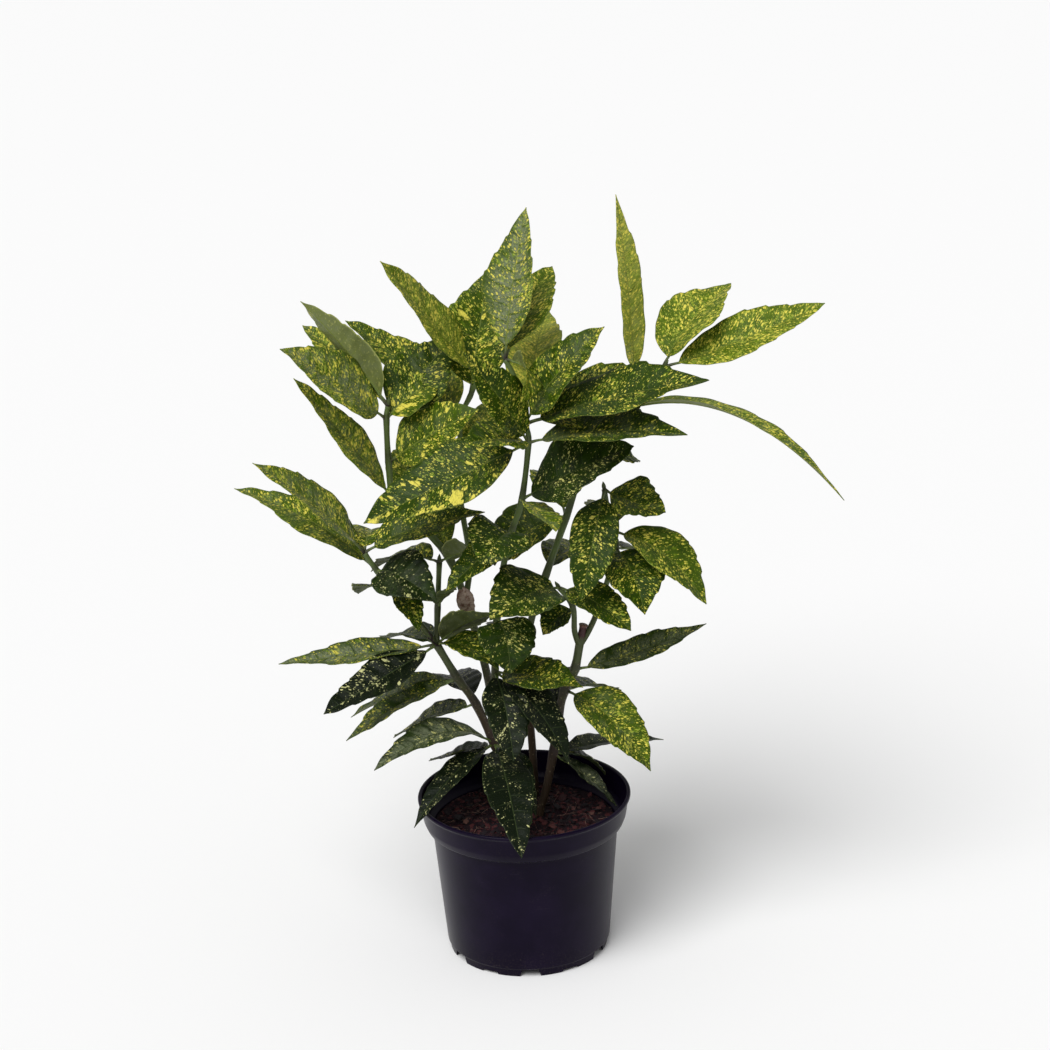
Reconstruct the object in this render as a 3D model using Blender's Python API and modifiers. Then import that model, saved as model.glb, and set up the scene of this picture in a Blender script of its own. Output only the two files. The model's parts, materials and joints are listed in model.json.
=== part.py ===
"""Potted Japanese laurel, a speckled evergreen shrub in a round nursery pot.

+Z is up and the front of the plant looks along -Y. The origin is on the axis of the
pot, at the level of the surface that it stands on. Lengths are in millimetres, and MM
turns them into metres.
"""

import math
import random
from collections import namedtuple

import bmesh
import bpy
from mathutils import Matrix, Vector

MM = 0.001
GAP = 0.3

# The pot, a nursery container of about three litres
POT_HEIGHT = 146.0
RIM_RADIUS = 95.0
RIM_DEPTH = 27.0
RIM_TAPER = 2.5
LIP = 1.8
LIP_DEPTH = 2.6
EDGE = 0.8
SHOULDER_HEIGHT = 7.2
SHOULDER_STEP = 2.6
WALL_TOP_RADIUS = 83.0
BASE_RADIUS = 73.5
FOOT_RADIUS = 72.0
FOOT_HEIGHT = 8.0
WALL = 1.8
PANEL_RADIUS = 44.0
STEPS = 36
SLOT_HEIGHT = 7.0
SLOT_WIDTH = 19.0
NOTCH_HEIGHT = 2.5
NOTCH_WIDTH = 17.0
SLOT_DEPTH = 14.0
SLOT_NARROWING = 0.8
SLOTS = 6

# The soil
SOIL_DROP = 28.0
SOIL_RELIEF = 2.2
SOIL_RINGS = 4
SOIL_MARGIN = 0.25
HOLE_SIDES = 10
CLEARANCE = 0.6

# The stems
STEM_SIDES = 6
NODE_SWELLING = 1.12

# The leaves
BLADE = 0.8
STALK = 2.4
STALK_SHARE = 0.11
FOLD = math.radians(14)
TIP_HALF_WIDTH = 0.7
TEETH = (0.58, 0.77)
TOOTH_CUT = 0.84
TOOTH_STEP = 0.035
ROWS = (0.04, 0.19, 0.40, 0.58, 0.615, 0.77, 0.805, 1.0)
WIDEST = (0.80, 0.92)
CROWN_PLACE = 0.42
EDGE_WAVE = (0.02, 0.05)
WAVES = 2
SEED = 7

Shoot = namedtuple("Shoot", "points radius")
Leaf = namedtuple("Leaf", "at tip width arch turn", defaults=(10, 15))

# Each leafy stem is a set of shoots. A shoot lists the points that its stem runs through,
# from its root or fork up, and the stem's radius at both ends. Each leaf grows from one of
# the points and ends at its tip; arch is how far the midrib rises between them, and turn
# is how far the upper face is turned to the front about the midrib, in degrees.
STEMS = {
    "leafy_stem_left": {
        "cane": (
            Shoot(
                (
                    (-10, 30, 75),
                    (-10, 30, 120),
                    (-15, 25, 155),
                    (-25, 20, 185),
                    (-40, 18, 225),
                    (-55, 12, 252),
                    (-72, 8, 287),
                ),
                (4.2, 3.2),
            ),
            (
                Leaf(3, (-97, -53, 140), 30, 10, 0),
                Leaf(3, (-4, -120, 140), 44, 14, 0),
                Leaf(3, (10, -52, 145), 28, 12, 0),
                Leaf(3, (-86, 60, 153), 32, 0, 0),
                Leaf(3, (-130, -40, 190), 38, 24, 10),
                Leaf(4, (-118, 72, 172), 42, 4, 10),
                Leaf(5, (-155, 62, 198), 42, 6, 10),
                Leaf(5, (-155, -10, 206), 35, 6, 5),
                Leaf(6, (-170, -50, 249), 42, 0, 20),
                Leaf(6, (-212, 10, 273), 36, 0, 14),
                Leaf(6, (-125, 85, 262), 42, 8, 0),
                Leaf(6, (-18, -45, 282), 44, 10, 0),
                Leaf(6, (-20, -15, 322), 39, 6, -40),
                Leaf(4, (-75, 125, 205), 42, 14, 0),
            ),
        ),
        "outer shoot": (
            Shoot(
                (
                    (-72, 8, 287),
                    (-90, 4, 315),
                    (-108, 0, 342),
                    (-120, -5, 362),
                    (-130, -8, 380),
                ),
                (2.8, 2.2),
            ),
            (
                Leaf(3, (-242, 30, 430), 51, 12, 15),
                Leaf(4, (-215, -60, 480), 50, 6, 35),
                Leaf(4, (-125, 70, 372), 39, 10, 0),
                Leaf(2, (-142, 60, 318), 39, 6, 0),
                Leaf(2, (-85, -38, 318), 26, 8, 0),
                Leaf(4, (-25, -8, 413), 50, 8, 20),
                Leaf(3, (-68, -50, 348), 53, 12, 30),
            ),
        ),
        "upright shoot": (
            Shoot(
                ((-72, 8, 287), (-70, 15, 318), (-67, 20, 359)),
                (2.8, 2.2),
            ),
            (
                Leaf(2, (-18, -30, 372), 44, 10, -30),
                Leaf(1, (-52, -15, 346), 23, 5, 0),
                Leaf(2, (-130, 70, 335), 44, 10, 0),
            ),
        ),
    },
    "leafy_stem_centre": {
        "left shoot": (
            Shoot(
                (
                    (-22, 54, 75),
                    (-22, 54, 120),
                    (-23, 50, 180),
                    (-30, 45, 245),
                    (-46, 40, 315),
                    (-58, 38, 355),
                    (-82, 36, 388),
                    (-104, 32, 414),
                    (-107, 30, 449),
                    (-107, 28, 488),
                    (-105, 28, 500),
                ),
                (4.2, 2.2),
            ),
            (
                Leaf(10, (-175, 35, 593), 52, 4, -45),
                Leaf(10, (-178, 75, 562), 39, 4, 20),
                Leaf(9, (-48, 70, 548), 58, 4, 40),
                Leaf(9, (-190, -20, 566), 62, 4, 45),
                Leaf(9, (-60, 45, 518), 46, 6, 30),
                Leaf(8, (-27, 0, 502), 58, 4, 50),
                Leaf(7, (-182, 0, 535), 39, 2, 45),
                Leaf(7, (-70, 120, 430), 44, 14, 0),
                Leaf(5, (-100, 130, 400), 42, 12, 0),
            ),
        ),
        "back shoot": (
            Shoot(
                (
                    (-46, 40, 315),
                    (-41, 58, 347),
                    (-47, 60, 403),
                    (-45, 60, 442),
                    (-44, 60, 477),
                    (-35, 60, 497),
                    (-27, 60, 514),
                ),
                (2.8, 2.0),
            ),
            (
                Leaf(5, (-14, 95, 602), 67, 4, 20),
                Leaf(6, (-104, 0, 633), 48, 0, 55),
                Leaf(4, (-142, 95, 560), 48, 8, 20),
                Leaf(3, (-94, -15, 436), 44, 8, 30),
                Leaf(3, (25, 130, 470), 49, 14, 0),
                Leaf(4, (-105, 130, 520), 49, 12, 0),
            ),
        ),
        "middle shoot": (
            Shoot(
                (
                    (-23, 50, 180),
                    (-24, 25, 215),
                    (-22, 5, 260),
                    (-18, -10, 317),
                    (-11, -15, 366),
                    (-3, -20, 398),
                    (7, -20, 427),
                    (14, -20, 477),
                    (12, -17, 493),
                    (5, -12, 530),
                    (-3, -8, 547),
                ),
                (3.2, 2.0),
            ),
            (
                Leaf(10, (19, 20, 670), 53, 4, 0),
                Leaf(10, (40, 60, 610), 56, 6, 0),
                Leaf(10, (9, -55, 523), 38, 14, -60),
                Leaf(8, (80, -30, 578), 50, 8, 45),
                Leaf(8, (163, -70, 540), 62, 6, 25),
                Leaf(8, (147, -5, 528), 64, 0, 35),
                Leaf(7, (144, -80, 497), 56, 8, 15),
                Leaf(7, (-37, -70, 571), 46, 4, 85),
                Leaf(7, (-38, -65, 492), 49, 4, 20),
                Leaf(7, (-126, -60, 424), 64, 1, 35),
                Leaf(6, (34, -78, 417), 36, 2, -20),
                Leaf(6, (102, -40, 477), 68, 4, 35),
                Leaf(5, (-30, -70, 388), 60, 8, 20),
                Leaf(5, (-61, -45, 355), 36, 2, 20),
                Leaf(3, (-8, -44, 278), 54, 12, 0),
                Leaf(2, (54, -42, 262), 46, 4, 20),
                Leaf(2, (-8, -60, 203), 42, 12, 0),
                Leaf(2, (40, -55, 196), 44, 12, 0),
                Leaf(8, (35, 110, 560), 49, 12, 0),
            ),
        ),
    },
    "leafy_stem_tall": {
        "cane": (
            Shoot(
                (
                    (10, 50, 75),
                    (10, 50, 120),
                    (8, 44, 190),
                    (5, 32, 250),
                    (11, 20, 300),
                    (26, 20, 344),
                    (45, 30, 393),
                    (63, 35, 443),
                    (81, 40, 482),
                    (107, 38, 505),
                    (126, 33, 517),
                    (132, 32, 525),
                ),
                (3.8, 2.0),
            ),
            (
                Leaf(9, (92, -20, 686), 31, 4, 120),
                Leaf(11, (195, 80, 585), 68, 8, 0),
                Leaf(11, (269, 20, 579), 53, -4, 30),
                Leaf(8, (277, -50, 426), 37, 38, -10),
                Leaf(6, (-34, 45, 348), 60, 8, 35),
                Leaf(6, (28, 140, 402), 44, 12, 0),
                Leaf(7, (112, 60, 432), 42, 8, 20),
                Leaf(9, (130, 150, 468), 49, 12, 0),
                Leaf(5, (70, 120, 330), 46, 14, 0),
                Leaf(3, (-20, 130, 260), 44, 14, 0),
            ),
        ),
    },
    "leafy_stem_right": {
        "cane": (
            Shoot(
                (
                    (14, 10, 75),
                    (14, 10, 120),
                    (19, 10, 140),
                    (27, 10, 178),
                    (33, 8, 215),
                    (39, 6, 240),
                    (48, 0, 262),
                    (53, 0, 286),
                    (57, 0, 304),
                ),
                (3.6, 3.8),
            ),
            (
                Leaf(6, (166, 20, 293), 34, -5, 20),
                Leaf(5, (111, -42, 181), 53, 16, 15),
                Leaf(5, (92, 70, 203), 39, 8, 0),
                Leaf(3, (130, 78, 158), 35, 4, 0),
                Leaf(3, (74, 30, 146), 28, 8, 0),
                Leaf(3, (82, -4, 131), 26, 4, 0),
                Leaf(4, (20, 120, 215), 44, 14, 0),
            ),
        ),
        "right shoot": (
            Shoot(
                (
                    (53, 0, 284),
                    (62, 2, 298),
                    (71, 5, 318),
                    (87, 5, 371),
                    (84, 5, 387),
                    (78, 0, 427),
                ),
                (2.8, 2.0),
            ),
            (
                Leaf(5, (129, -20, 411), 54, -2, 20),
                Leaf(4, (162, -30, 330), 53, 16, 15),
                Leaf(3, (108, -50, 330), 58, 10, 0),
                Leaf(3, (130, 65, 326), 42, 8, 0),
                Leaf(5, (54, -55, 347), 43, 12, 20),
                Leaf(4, (85, 120, 370), 46, 12, 0),
            ),
        ),
        "left shoot": (
            Shoot(
                ((53, 0, 284), (49, -5, 300), (48, -10, 324), (37, -10, 342)),
                (2.8, 2.0),
            ),
            (
                Leaf(3, (-24, -66, 336), 68, 10, 20),
                Leaf(3, (96, -48, 315), 42, 8, 15),
                Leaf(2, (21, -22, 304), 34, 4, 15),
            ),
        ),
    },
}


def clear_scene():
    for thing in list(bpy.data.objects):
        bpy.data.objects.remove(thing, do_unlink=True)


def new_collection(name):
    collection = bpy.data.collections.new(name)
    bpy.context.scene.collection.children.link(collection)
    return collection


def material(name, colour, roughness, metallic=0.0):
    made = bpy.data.materials.new(name)
    made.use_nodes = True
    shader = made.node_tree.nodes["Principled BSDF"]
    shader.inputs["Base Color"].default_value = (*colour, 1.0)
    shader.inputs["Roughness"].default_value = roughness
    shader.inputs["Metallic"].default_value = metallic
    return made


def add_object(name, data, collection, finish=None):
    thing = bpy.data.objects.new(name, data)
    collection.objects.link(thing)
    if finish is not None:
        data.materials.append(finish)
    return thing


def evaluated_mesh(thing):
    """The object's mesh with its modifiers applied."""
    bpy.context.view_layer.update()
    graph = bpy.context.evaluated_depsgraph_get()
    return bpy.data.meshes.new_from_object(thing.evaluated_get(graph))


def edit(mesh, change):
    """Run one change on the mesh as a bmesh."""
    bm = bmesh.new()
    bm.from_mesh(mesh)
    change(bm)
    bm.to_mesh(mesh)
    bm.free()


def triangulated(bm):
    bmesh.ops.triangulate(bm, faces=bm.faces[:])


def one_body(bm):
    """Keep the largest body, so that sealed hollows are filled and scraps dropped."""
    bodies = []
    waiting = set(bm.verts)
    while waiting:
        body = [waiting.pop()]
        for vert in body:
            for link in vert.link_edges:
                other = link.other_vert(vert)
                if other in waiting:
                    waiting.remove(other)
                    body.append(other)
        bodies.append(body)
    bodies.sort(key=len)
    for body in bodies[:-1]:
        bmesh.ops.delete(bm, geom=body, context="VERTS")


def turned(name, profile, steps, collection, finish):
    """A closed turned solid from a profile of radius and height, in millimetres."""
    mesh = bpy.data.meshes.new(name)
    points = [(radius * MM, 0.0, height * MM) for radius, height in profile]
    mesh.from_pydata(points, [(i, i + 1) for i in range(len(points) - 1)], [])
    thing = add_object(name, mesh, collection, finish)
    screw = thing.modifiers.new("turn", "SCREW")
    screw.steps = steps
    screw.render_steps = steps
    screw.use_merge_vertices = True
    screw.merge_threshold = 0.00001
    return thing


def subtract(thing, cutter, name):
    cut = thing.modifiers.new(name, "BOOLEAN")
    cut.operation = "DIFFERENCE"
    cut.solver = "EXACT"
    cut.object = cutter
    cutter.hide_render = True
    cutter.display_type = "WIRE"


def inner_wall_radius(height):
    """Radius of the inside of the pot's straight wall."""
    top = POT_HEIGHT - RIM_DEPTH
    share = (height - FOOT_HEIGHT) / (top - FOOT_HEIGHT)
    return BASE_RADIUS + (WALL_TOP_RADIUS - BASE_RADIUS) * share - WALL


def pot_profile():
    """From the floor's middle, out and up the inside, and down the outside."""
    shoulder = POT_HEIGHT - RIM_DEPTH
    rim_low = RIM_RADIUS - RIM_TAPER - LIP
    rim_inside = RIM_RADIUS - LIP - WALL
    foot_inside = FOOT_RADIUS - WALL
    floor_top = FOOT_HEIGHT + WALL
    return (
        (0.0, WALL),
        (PANEL_RADIUS - WALL, WALL),
        (PANEL_RADIUS, floor_top),
        (inner_wall_radius(floor_top), floor_top),
        (inner_wall_radius(shoulder), shoulder),
        (rim_low - WALL - SHOULDER_STEP, shoulder + SHOULDER_STEP),
        (rim_low - WALL, shoulder + SHOULDER_HEIGHT),
        (rim_inside, POT_HEIGHT - EDGE),
        (rim_inside + EDGE, POT_HEIGHT),
        (RIM_RADIUS - EDGE, POT_HEIGHT),
        (RIM_RADIUS, POT_HEIGHT - EDGE),
        (RIM_RADIUS, POT_HEIGHT - LIP_DEPTH),
        (RIM_RADIUS - LIP, POT_HEIGHT - LIP_DEPTH - LIP),
        (rim_low, shoulder + SHOULDER_HEIGHT),
        (rim_low - SHOULDER_STEP, shoulder + SHOULDER_STEP - WALL),
        (WALL_TOP_RADIUS, shoulder - WALL),
        (BASE_RADIUS, FOOT_HEIGHT),
        (FOOT_RADIUS, FOOT_HEIGHT - EDGE),
        (FOOT_RADIUS - EDGE, 0.0),
        (foot_inside, 0.0),
        (foot_inside, FOOT_HEIGHT),
        (PANEL_RADIUS + WALL, FOOT_HEIGHT),
        (PANEL_RADIUS, 0.0),
        (0.0, 0.0),
    )


def slot_cutter(index, width, height, collection):
    """A block that cuts one drainage opening through the foot, narrower at its top."""
    mesh = bpy.data.meshes.new(f"slot_{index}")
    bm = bmesh.new()
    bmesh.ops.create_cube(bm, size=1.0)
    for vert in bm.verts:
        top = vert.co.z > 0
        narrow = SLOT_NARROWING if top else 1.0
        vert.co.x = (FOOT_RADIUS + vert.co.x * SLOT_DEPTH) * MM
        vert.co.y = vert.co.y * width * narrow * MM
        vert.co.z = (height if top else -WALL) * MM
    bm.to_mesh(mesh)
    bm.free()
    cutter = add_object(f"slot_{index}", mesh, collection)
    cutter.rotation_euler.z = math.radians(-90 + index * 180 / SLOTS)
    return cutter


def make_pot(collection, cutters):
    finish = material("pot plastic", (0.012, 0.011, 0.02), 0.38)
    pot = turned("pot", pot_profile(), STEPS, collection, finish)
    for index in range(2 * SLOTS):
        if index % 2:
            cutter = slot_cutter(index, NOTCH_WIDTH, NOTCH_HEIGHT, cutters)
        else:
            cutter = slot_cutter(index, SLOT_WIDTH, SLOT_HEIGHT, cutters)
        subtract(pot, cutter, f"slot {index}")
    pot.data.shade_smooth()
    pot.data.set_sharp_from_angle(angle=math.radians(30))
    return pot


def soil_relief(x, y):
    """Height of the crumbs and chips above the level of the soil, from -1 to 1."""
    coarse = math.sin(0.11 * x + 1.3) * math.cos(0.13 * y - 0.4)
    fine = math.sin(0.31 * x + 0.23 * y) * math.cos(0.27 * y - 0.19 * x)
    return 0.5 * coarse + 0.5 * fine


def make_soil(collection, cutters):
    finish = material("soil", (0.03, 0.015, 0.01), 0.95)
    level = POT_HEIGHT - SOIL_DROP
    top_radius = inner_wall_radius(level) - GAP
    floor_top = FOOT_HEIGHT + WALL + GAP
    profile = [(top_radius * ring / SOIL_RINGS, level) for ring in range(SOIL_RINGS + 1)]
    profile += [
        (inner_wall_radius(floor_top) - GAP, floor_top),
        (PANEL_RADIUS - GAP, floor_top),
        (PANEL_RADIUS - WALL - GAP, WALL + GAP),
        (0.0, WALL + GAP),
    ]
    blank = turned("soil blank", profile, STEPS, cutters, finish)
    mesh = evaluated_mesh(blank)
    bpy.data.objects.remove(blank, do_unlink=True)

    def roughen(bm):
        triangulated(bm)
        for vert in bm.verts:
            if vert.co.z > (level - WALL) * MM:
                reach = math.hypot(vert.co.x, vert.co.y) / MM / top_radius
                calm = min(1.0, (1.0 - reach) / SOIL_MARGIN)
                lift = soil_relief(vert.co.x / MM, vert.co.y / MM)
                vert.co.z += SOIL_RELIEF * calm * lift * MM

    edit(mesh, roughen)
    soil = add_object("soil", mesh, collection)
    for name, shoots in STEMS.items():
        shoot = next(iter(shoots.values()))[0]
        foot, radius = shoot.points[0], shoot.radius[0]
        subtract(soil, hole_cutter(name, foot, radius + GAP, cutters), name)
    return soil


def hole_cutter(name, foot, radius, collection):
    """A plain hole in the soil, from just below the stem's foot up."""
    mesh = bpy.data.meshes.new(f"hole for {name}")
    bm = bmesh.new()
    depth = POT_HEIGHT - foot[2]
    bmesh.ops.create_cone(
        bm,
        cap_ends=True,
        segments=HOLE_SIDES,
        radius1=(radius + CLEARANCE) * MM,
        radius2=(radius + CLEARANCE) * MM,
        depth=depth * MM,
    )
    bm.to_mesh(mesh)
    bm.free()
    hole = add_object(f"hole for {name}", mesh, collection)
    hole.location = Vector(foot) * MM + Vector((0, 0, (depth / 2 - GAP) * MM))
    return hole


def stem_tube(name, points, radii, sides, collection):
    """A closed tube through the points, as a mesh."""
    curve = bpy.data.curves.new(name, "CURVE")
    curve.dimensions = "3D"
    curve.bevel_depth = 1.0
    curve.bevel_resolution = (sides - 4) // 2
    curve.use_fill_caps = True
    curve.resolution_u = 1
    curve.render_resolution_u = 1
    spline = curve.splines.new("POLY")
    spline.points.add(len(points) - 1)
    for knot, point, radius in zip(spline.points, points, radii):
        knot.co = (*(Vector(point) * MM), 1.0)
        knot.radius = radius * MM
    guide = add_object(name, curve, collection)
    mesh = evaluated_mesh(guide)
    bpy.data.objects.remove(guide, do_unlink=True)
    edit(mesh, lambda bm: bmesh.ops.remove_doubles(bm, verts=bm.verts[:], dist=0.00001))
    return add_object(name, mesh, collection)


def make_shoot(name, shoot, collection):
    """One shoot's stem, a little thicker at each of its nodes."""
    count = len(shoot.points)
    low, high = shoot.radius
    radii = [low + (high - low) * i / (count - 1) for i in range(count)]
    radii = [radius * (NODE_SWELLING if i % 2 else 1.0) for i, radius in enumerate(radii)]
    return stem_tube(name, shoot.points, radii, STEM_SIDES, collection)


def outline(share):
    """Half width of a blade along its midrib, as a share of its greatest."""
    rise, fall = WIDEST
    peak = rise / (rise + fall)
    width = (share / peak) ** rise * ((1 - share) / (1 - peak)) ** fall
    for tooth in TEETH:
        if tooth < share < tooth + 2 * TOOTH_STEP:
            width *= TOOTH_CUT
    return width


def midrib(base, tip, arch, up, share):
    """A point of the midrib and its direction, on one smooth arch."""
    crown = base.lerp(tip, CROWN_PLACE) + up * 2 * arch
    point = base.lerp(crown, share).lerp(crown.lerp(tip, share), share)
    along = (crown - base).lerp(tip - crown, share)
    return point, along.normalized()


def leaf_frame(base, leaf):
    """The direction in which the blade's upper face looks, turned about its chord."""
    tip = Vector(leaf.tip)
    chord = (tip - base).normalized()
    up = Vector((0, 0, 1)) - chord * chord.z
    sense = 1 if chord.x >= 0 else -1
    up = Matrix.Rotation(math.radians(sense * leaf.turn), 3, chord) @ up.normalized()
    return tip, up


def leaf_widths(leaf):
    """Places along the leaf, as shares of its length, each with its half width."""
    places = [(0.0, STALK / 2), (STALK_SHARE, STALK / 2)]
    for row in ROWS:
        half = max(leaf.width / 2 * outline(row), TIP_HALF_WIDTH)
        places.append((STALK_SHARE + (1 - STALK_SHARE) * row, half))
    return places


def make_leaf(name, base, leaf, rng, collection):
    """A leaf with its stalk, its two halves folded up and a waved, toothed edge."""
    tip, up = leaf_frame(base, leaf)
    places = leaf_widths(leaf)
    last = len(places) - 1
    bm = bmesh.new()
    bmesh.ops.create_grid(bm, x_segments=last, y_segments=2, size=1.0)
    wave = rng.uniform(*EDGE_WAVE) * leaf.width
    phase = rng.uniform(0, 2 * math.pi)
    stalk = []
    for vert in bm.verts:
        row = round((vert.co.x + 1) / 2 * last)
        side = round(vert.co.y)
        share, half = places[row]
        point, along = midrib(base, tip, leaf.arch, up, share)
        normal = (up - along * up.dot(along)).normalized()
        ripple = 0.0
        if half > STALK:
            ripple = wave * math.sin(2 * math.pi * WAVES * share + phase + side)
        lift = abs(side) * (half * math.sin(FOLD) + ripple)
        out = normal.cross(along) * side * half * math.cos(FOLD)
        vert.co = (point + out + normal * lift) * MM
        if row < 2:
            stalk.append(vert.index)
    triangulated(bm)
    mesh = bpy.data.meshes.new(name)
    bm.to_mesh(mesh)
    bm.free()
    thing = add_object(name, mesh, collection)
    thing.vertex_groups.new(name="stalk").add(stalk, 1.0, "REPLACE")
    skin = thing.modifiers.new("thickness", "SOLIDIFY")
    skin.thickness = STALK * MM
    skin.offset = 0.0
    skin.vertex_group = "stalk"
    skin.thickness_vertex_group = BLADE / STALK
    return thing


def make_leafy_stem(name, shoots, collection, finish):
    """All shoots and leaves of one stem, joined in one solid by one union."""
    rng = random.Random(f"{SEED} {name}")
    repeats = new_collection(f"{name} repeats")
    stem = None
    for shoot_name, (shoot, leaves) in shoots.items():
        tube = make_shoot(f"{name} {shoot_name}", shoot, repeats)
        stem = stem or tube
        for number, leaf in enumerate(leaves):
            base = Vector(shoot.points[leaf.at])
            make_leaf(f"{name} leaf {number}", base, leaf, rng, repeats)
    repeats.objects.unlink(stem)
    collection.objects.link(stem)
    union = stem.modifiers.new("join", "BOOLEAN")
    union.operation = "UNION"
    union.operand_type = "COLLECTION"
    union.collection = repeats
    union.solver = "MANIFOLD"
    mesh = evaluated_mesh(stem)
    bpy.data.objects.remove(stem, do_unlink=True)
    for thing in list(repeats.objects):
        bpy.data.objects.remove(thing, do_unlink=True)
    bpy.data.collections.remove(repeats)
    edit(mesh, one_body)
    edit(mesh, triangulated)
    mesh.materials.clear()
    return add_object(name, mesh, collection, finish)


def main():
    clear_scene()
    plant = new_collection("potted_japanese_laurel")
    cutters = new_collection("cutters")
    make_pot(plant, cutters)
    make_soil(plant, cutters)
    leaf_green = material("leaf green", (0.06, 0.13, 0.015), 0.42)
    for name, shoots in STEMS.items():
        make_leafy_stem(name, shoots, plant, leaf_green)


main()
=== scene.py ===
import json
import math
import random

import bmesh
import bpy
from mathutils import Matrix, Vector, noise

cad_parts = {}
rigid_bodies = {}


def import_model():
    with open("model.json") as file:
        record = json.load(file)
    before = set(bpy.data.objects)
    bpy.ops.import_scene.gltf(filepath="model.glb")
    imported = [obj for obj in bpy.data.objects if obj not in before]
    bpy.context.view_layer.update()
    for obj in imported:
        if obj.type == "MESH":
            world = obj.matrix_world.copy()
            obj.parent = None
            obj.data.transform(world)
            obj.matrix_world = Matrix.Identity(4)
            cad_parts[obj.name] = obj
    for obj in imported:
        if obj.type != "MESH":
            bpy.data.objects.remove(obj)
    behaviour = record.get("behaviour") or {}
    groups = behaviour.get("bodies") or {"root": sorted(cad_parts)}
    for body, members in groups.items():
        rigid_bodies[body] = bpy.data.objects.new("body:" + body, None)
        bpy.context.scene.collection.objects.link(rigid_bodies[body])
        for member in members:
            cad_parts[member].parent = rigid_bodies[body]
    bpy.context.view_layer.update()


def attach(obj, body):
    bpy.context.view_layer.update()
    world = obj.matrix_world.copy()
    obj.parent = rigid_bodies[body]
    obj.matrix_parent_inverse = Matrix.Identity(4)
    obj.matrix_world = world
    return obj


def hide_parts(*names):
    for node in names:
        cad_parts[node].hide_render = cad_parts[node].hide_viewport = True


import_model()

# A speckled evergreen shrub in a round nursery pot. Lengths are in millimetres and mm
# turns them into metres. The front of the plant looks along -Y.
mm = 0.001

# Each leafy stem is a set of shoots. A stem runs through its points from the root or fork
# up, between two radii. Each leaf grows from one of the points and ends at its tip; arch
# is how far its midrib rises, turn how far its face is turned to the front, in degrees.

def stem(points, radius):
    return {"points": points, "radius": radius}


def leaf(at, tip, width, arch=10, turn=15):
    return {"at": at, "tip": tip, "width": width, "arch": arch, "turn": turn}


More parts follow.
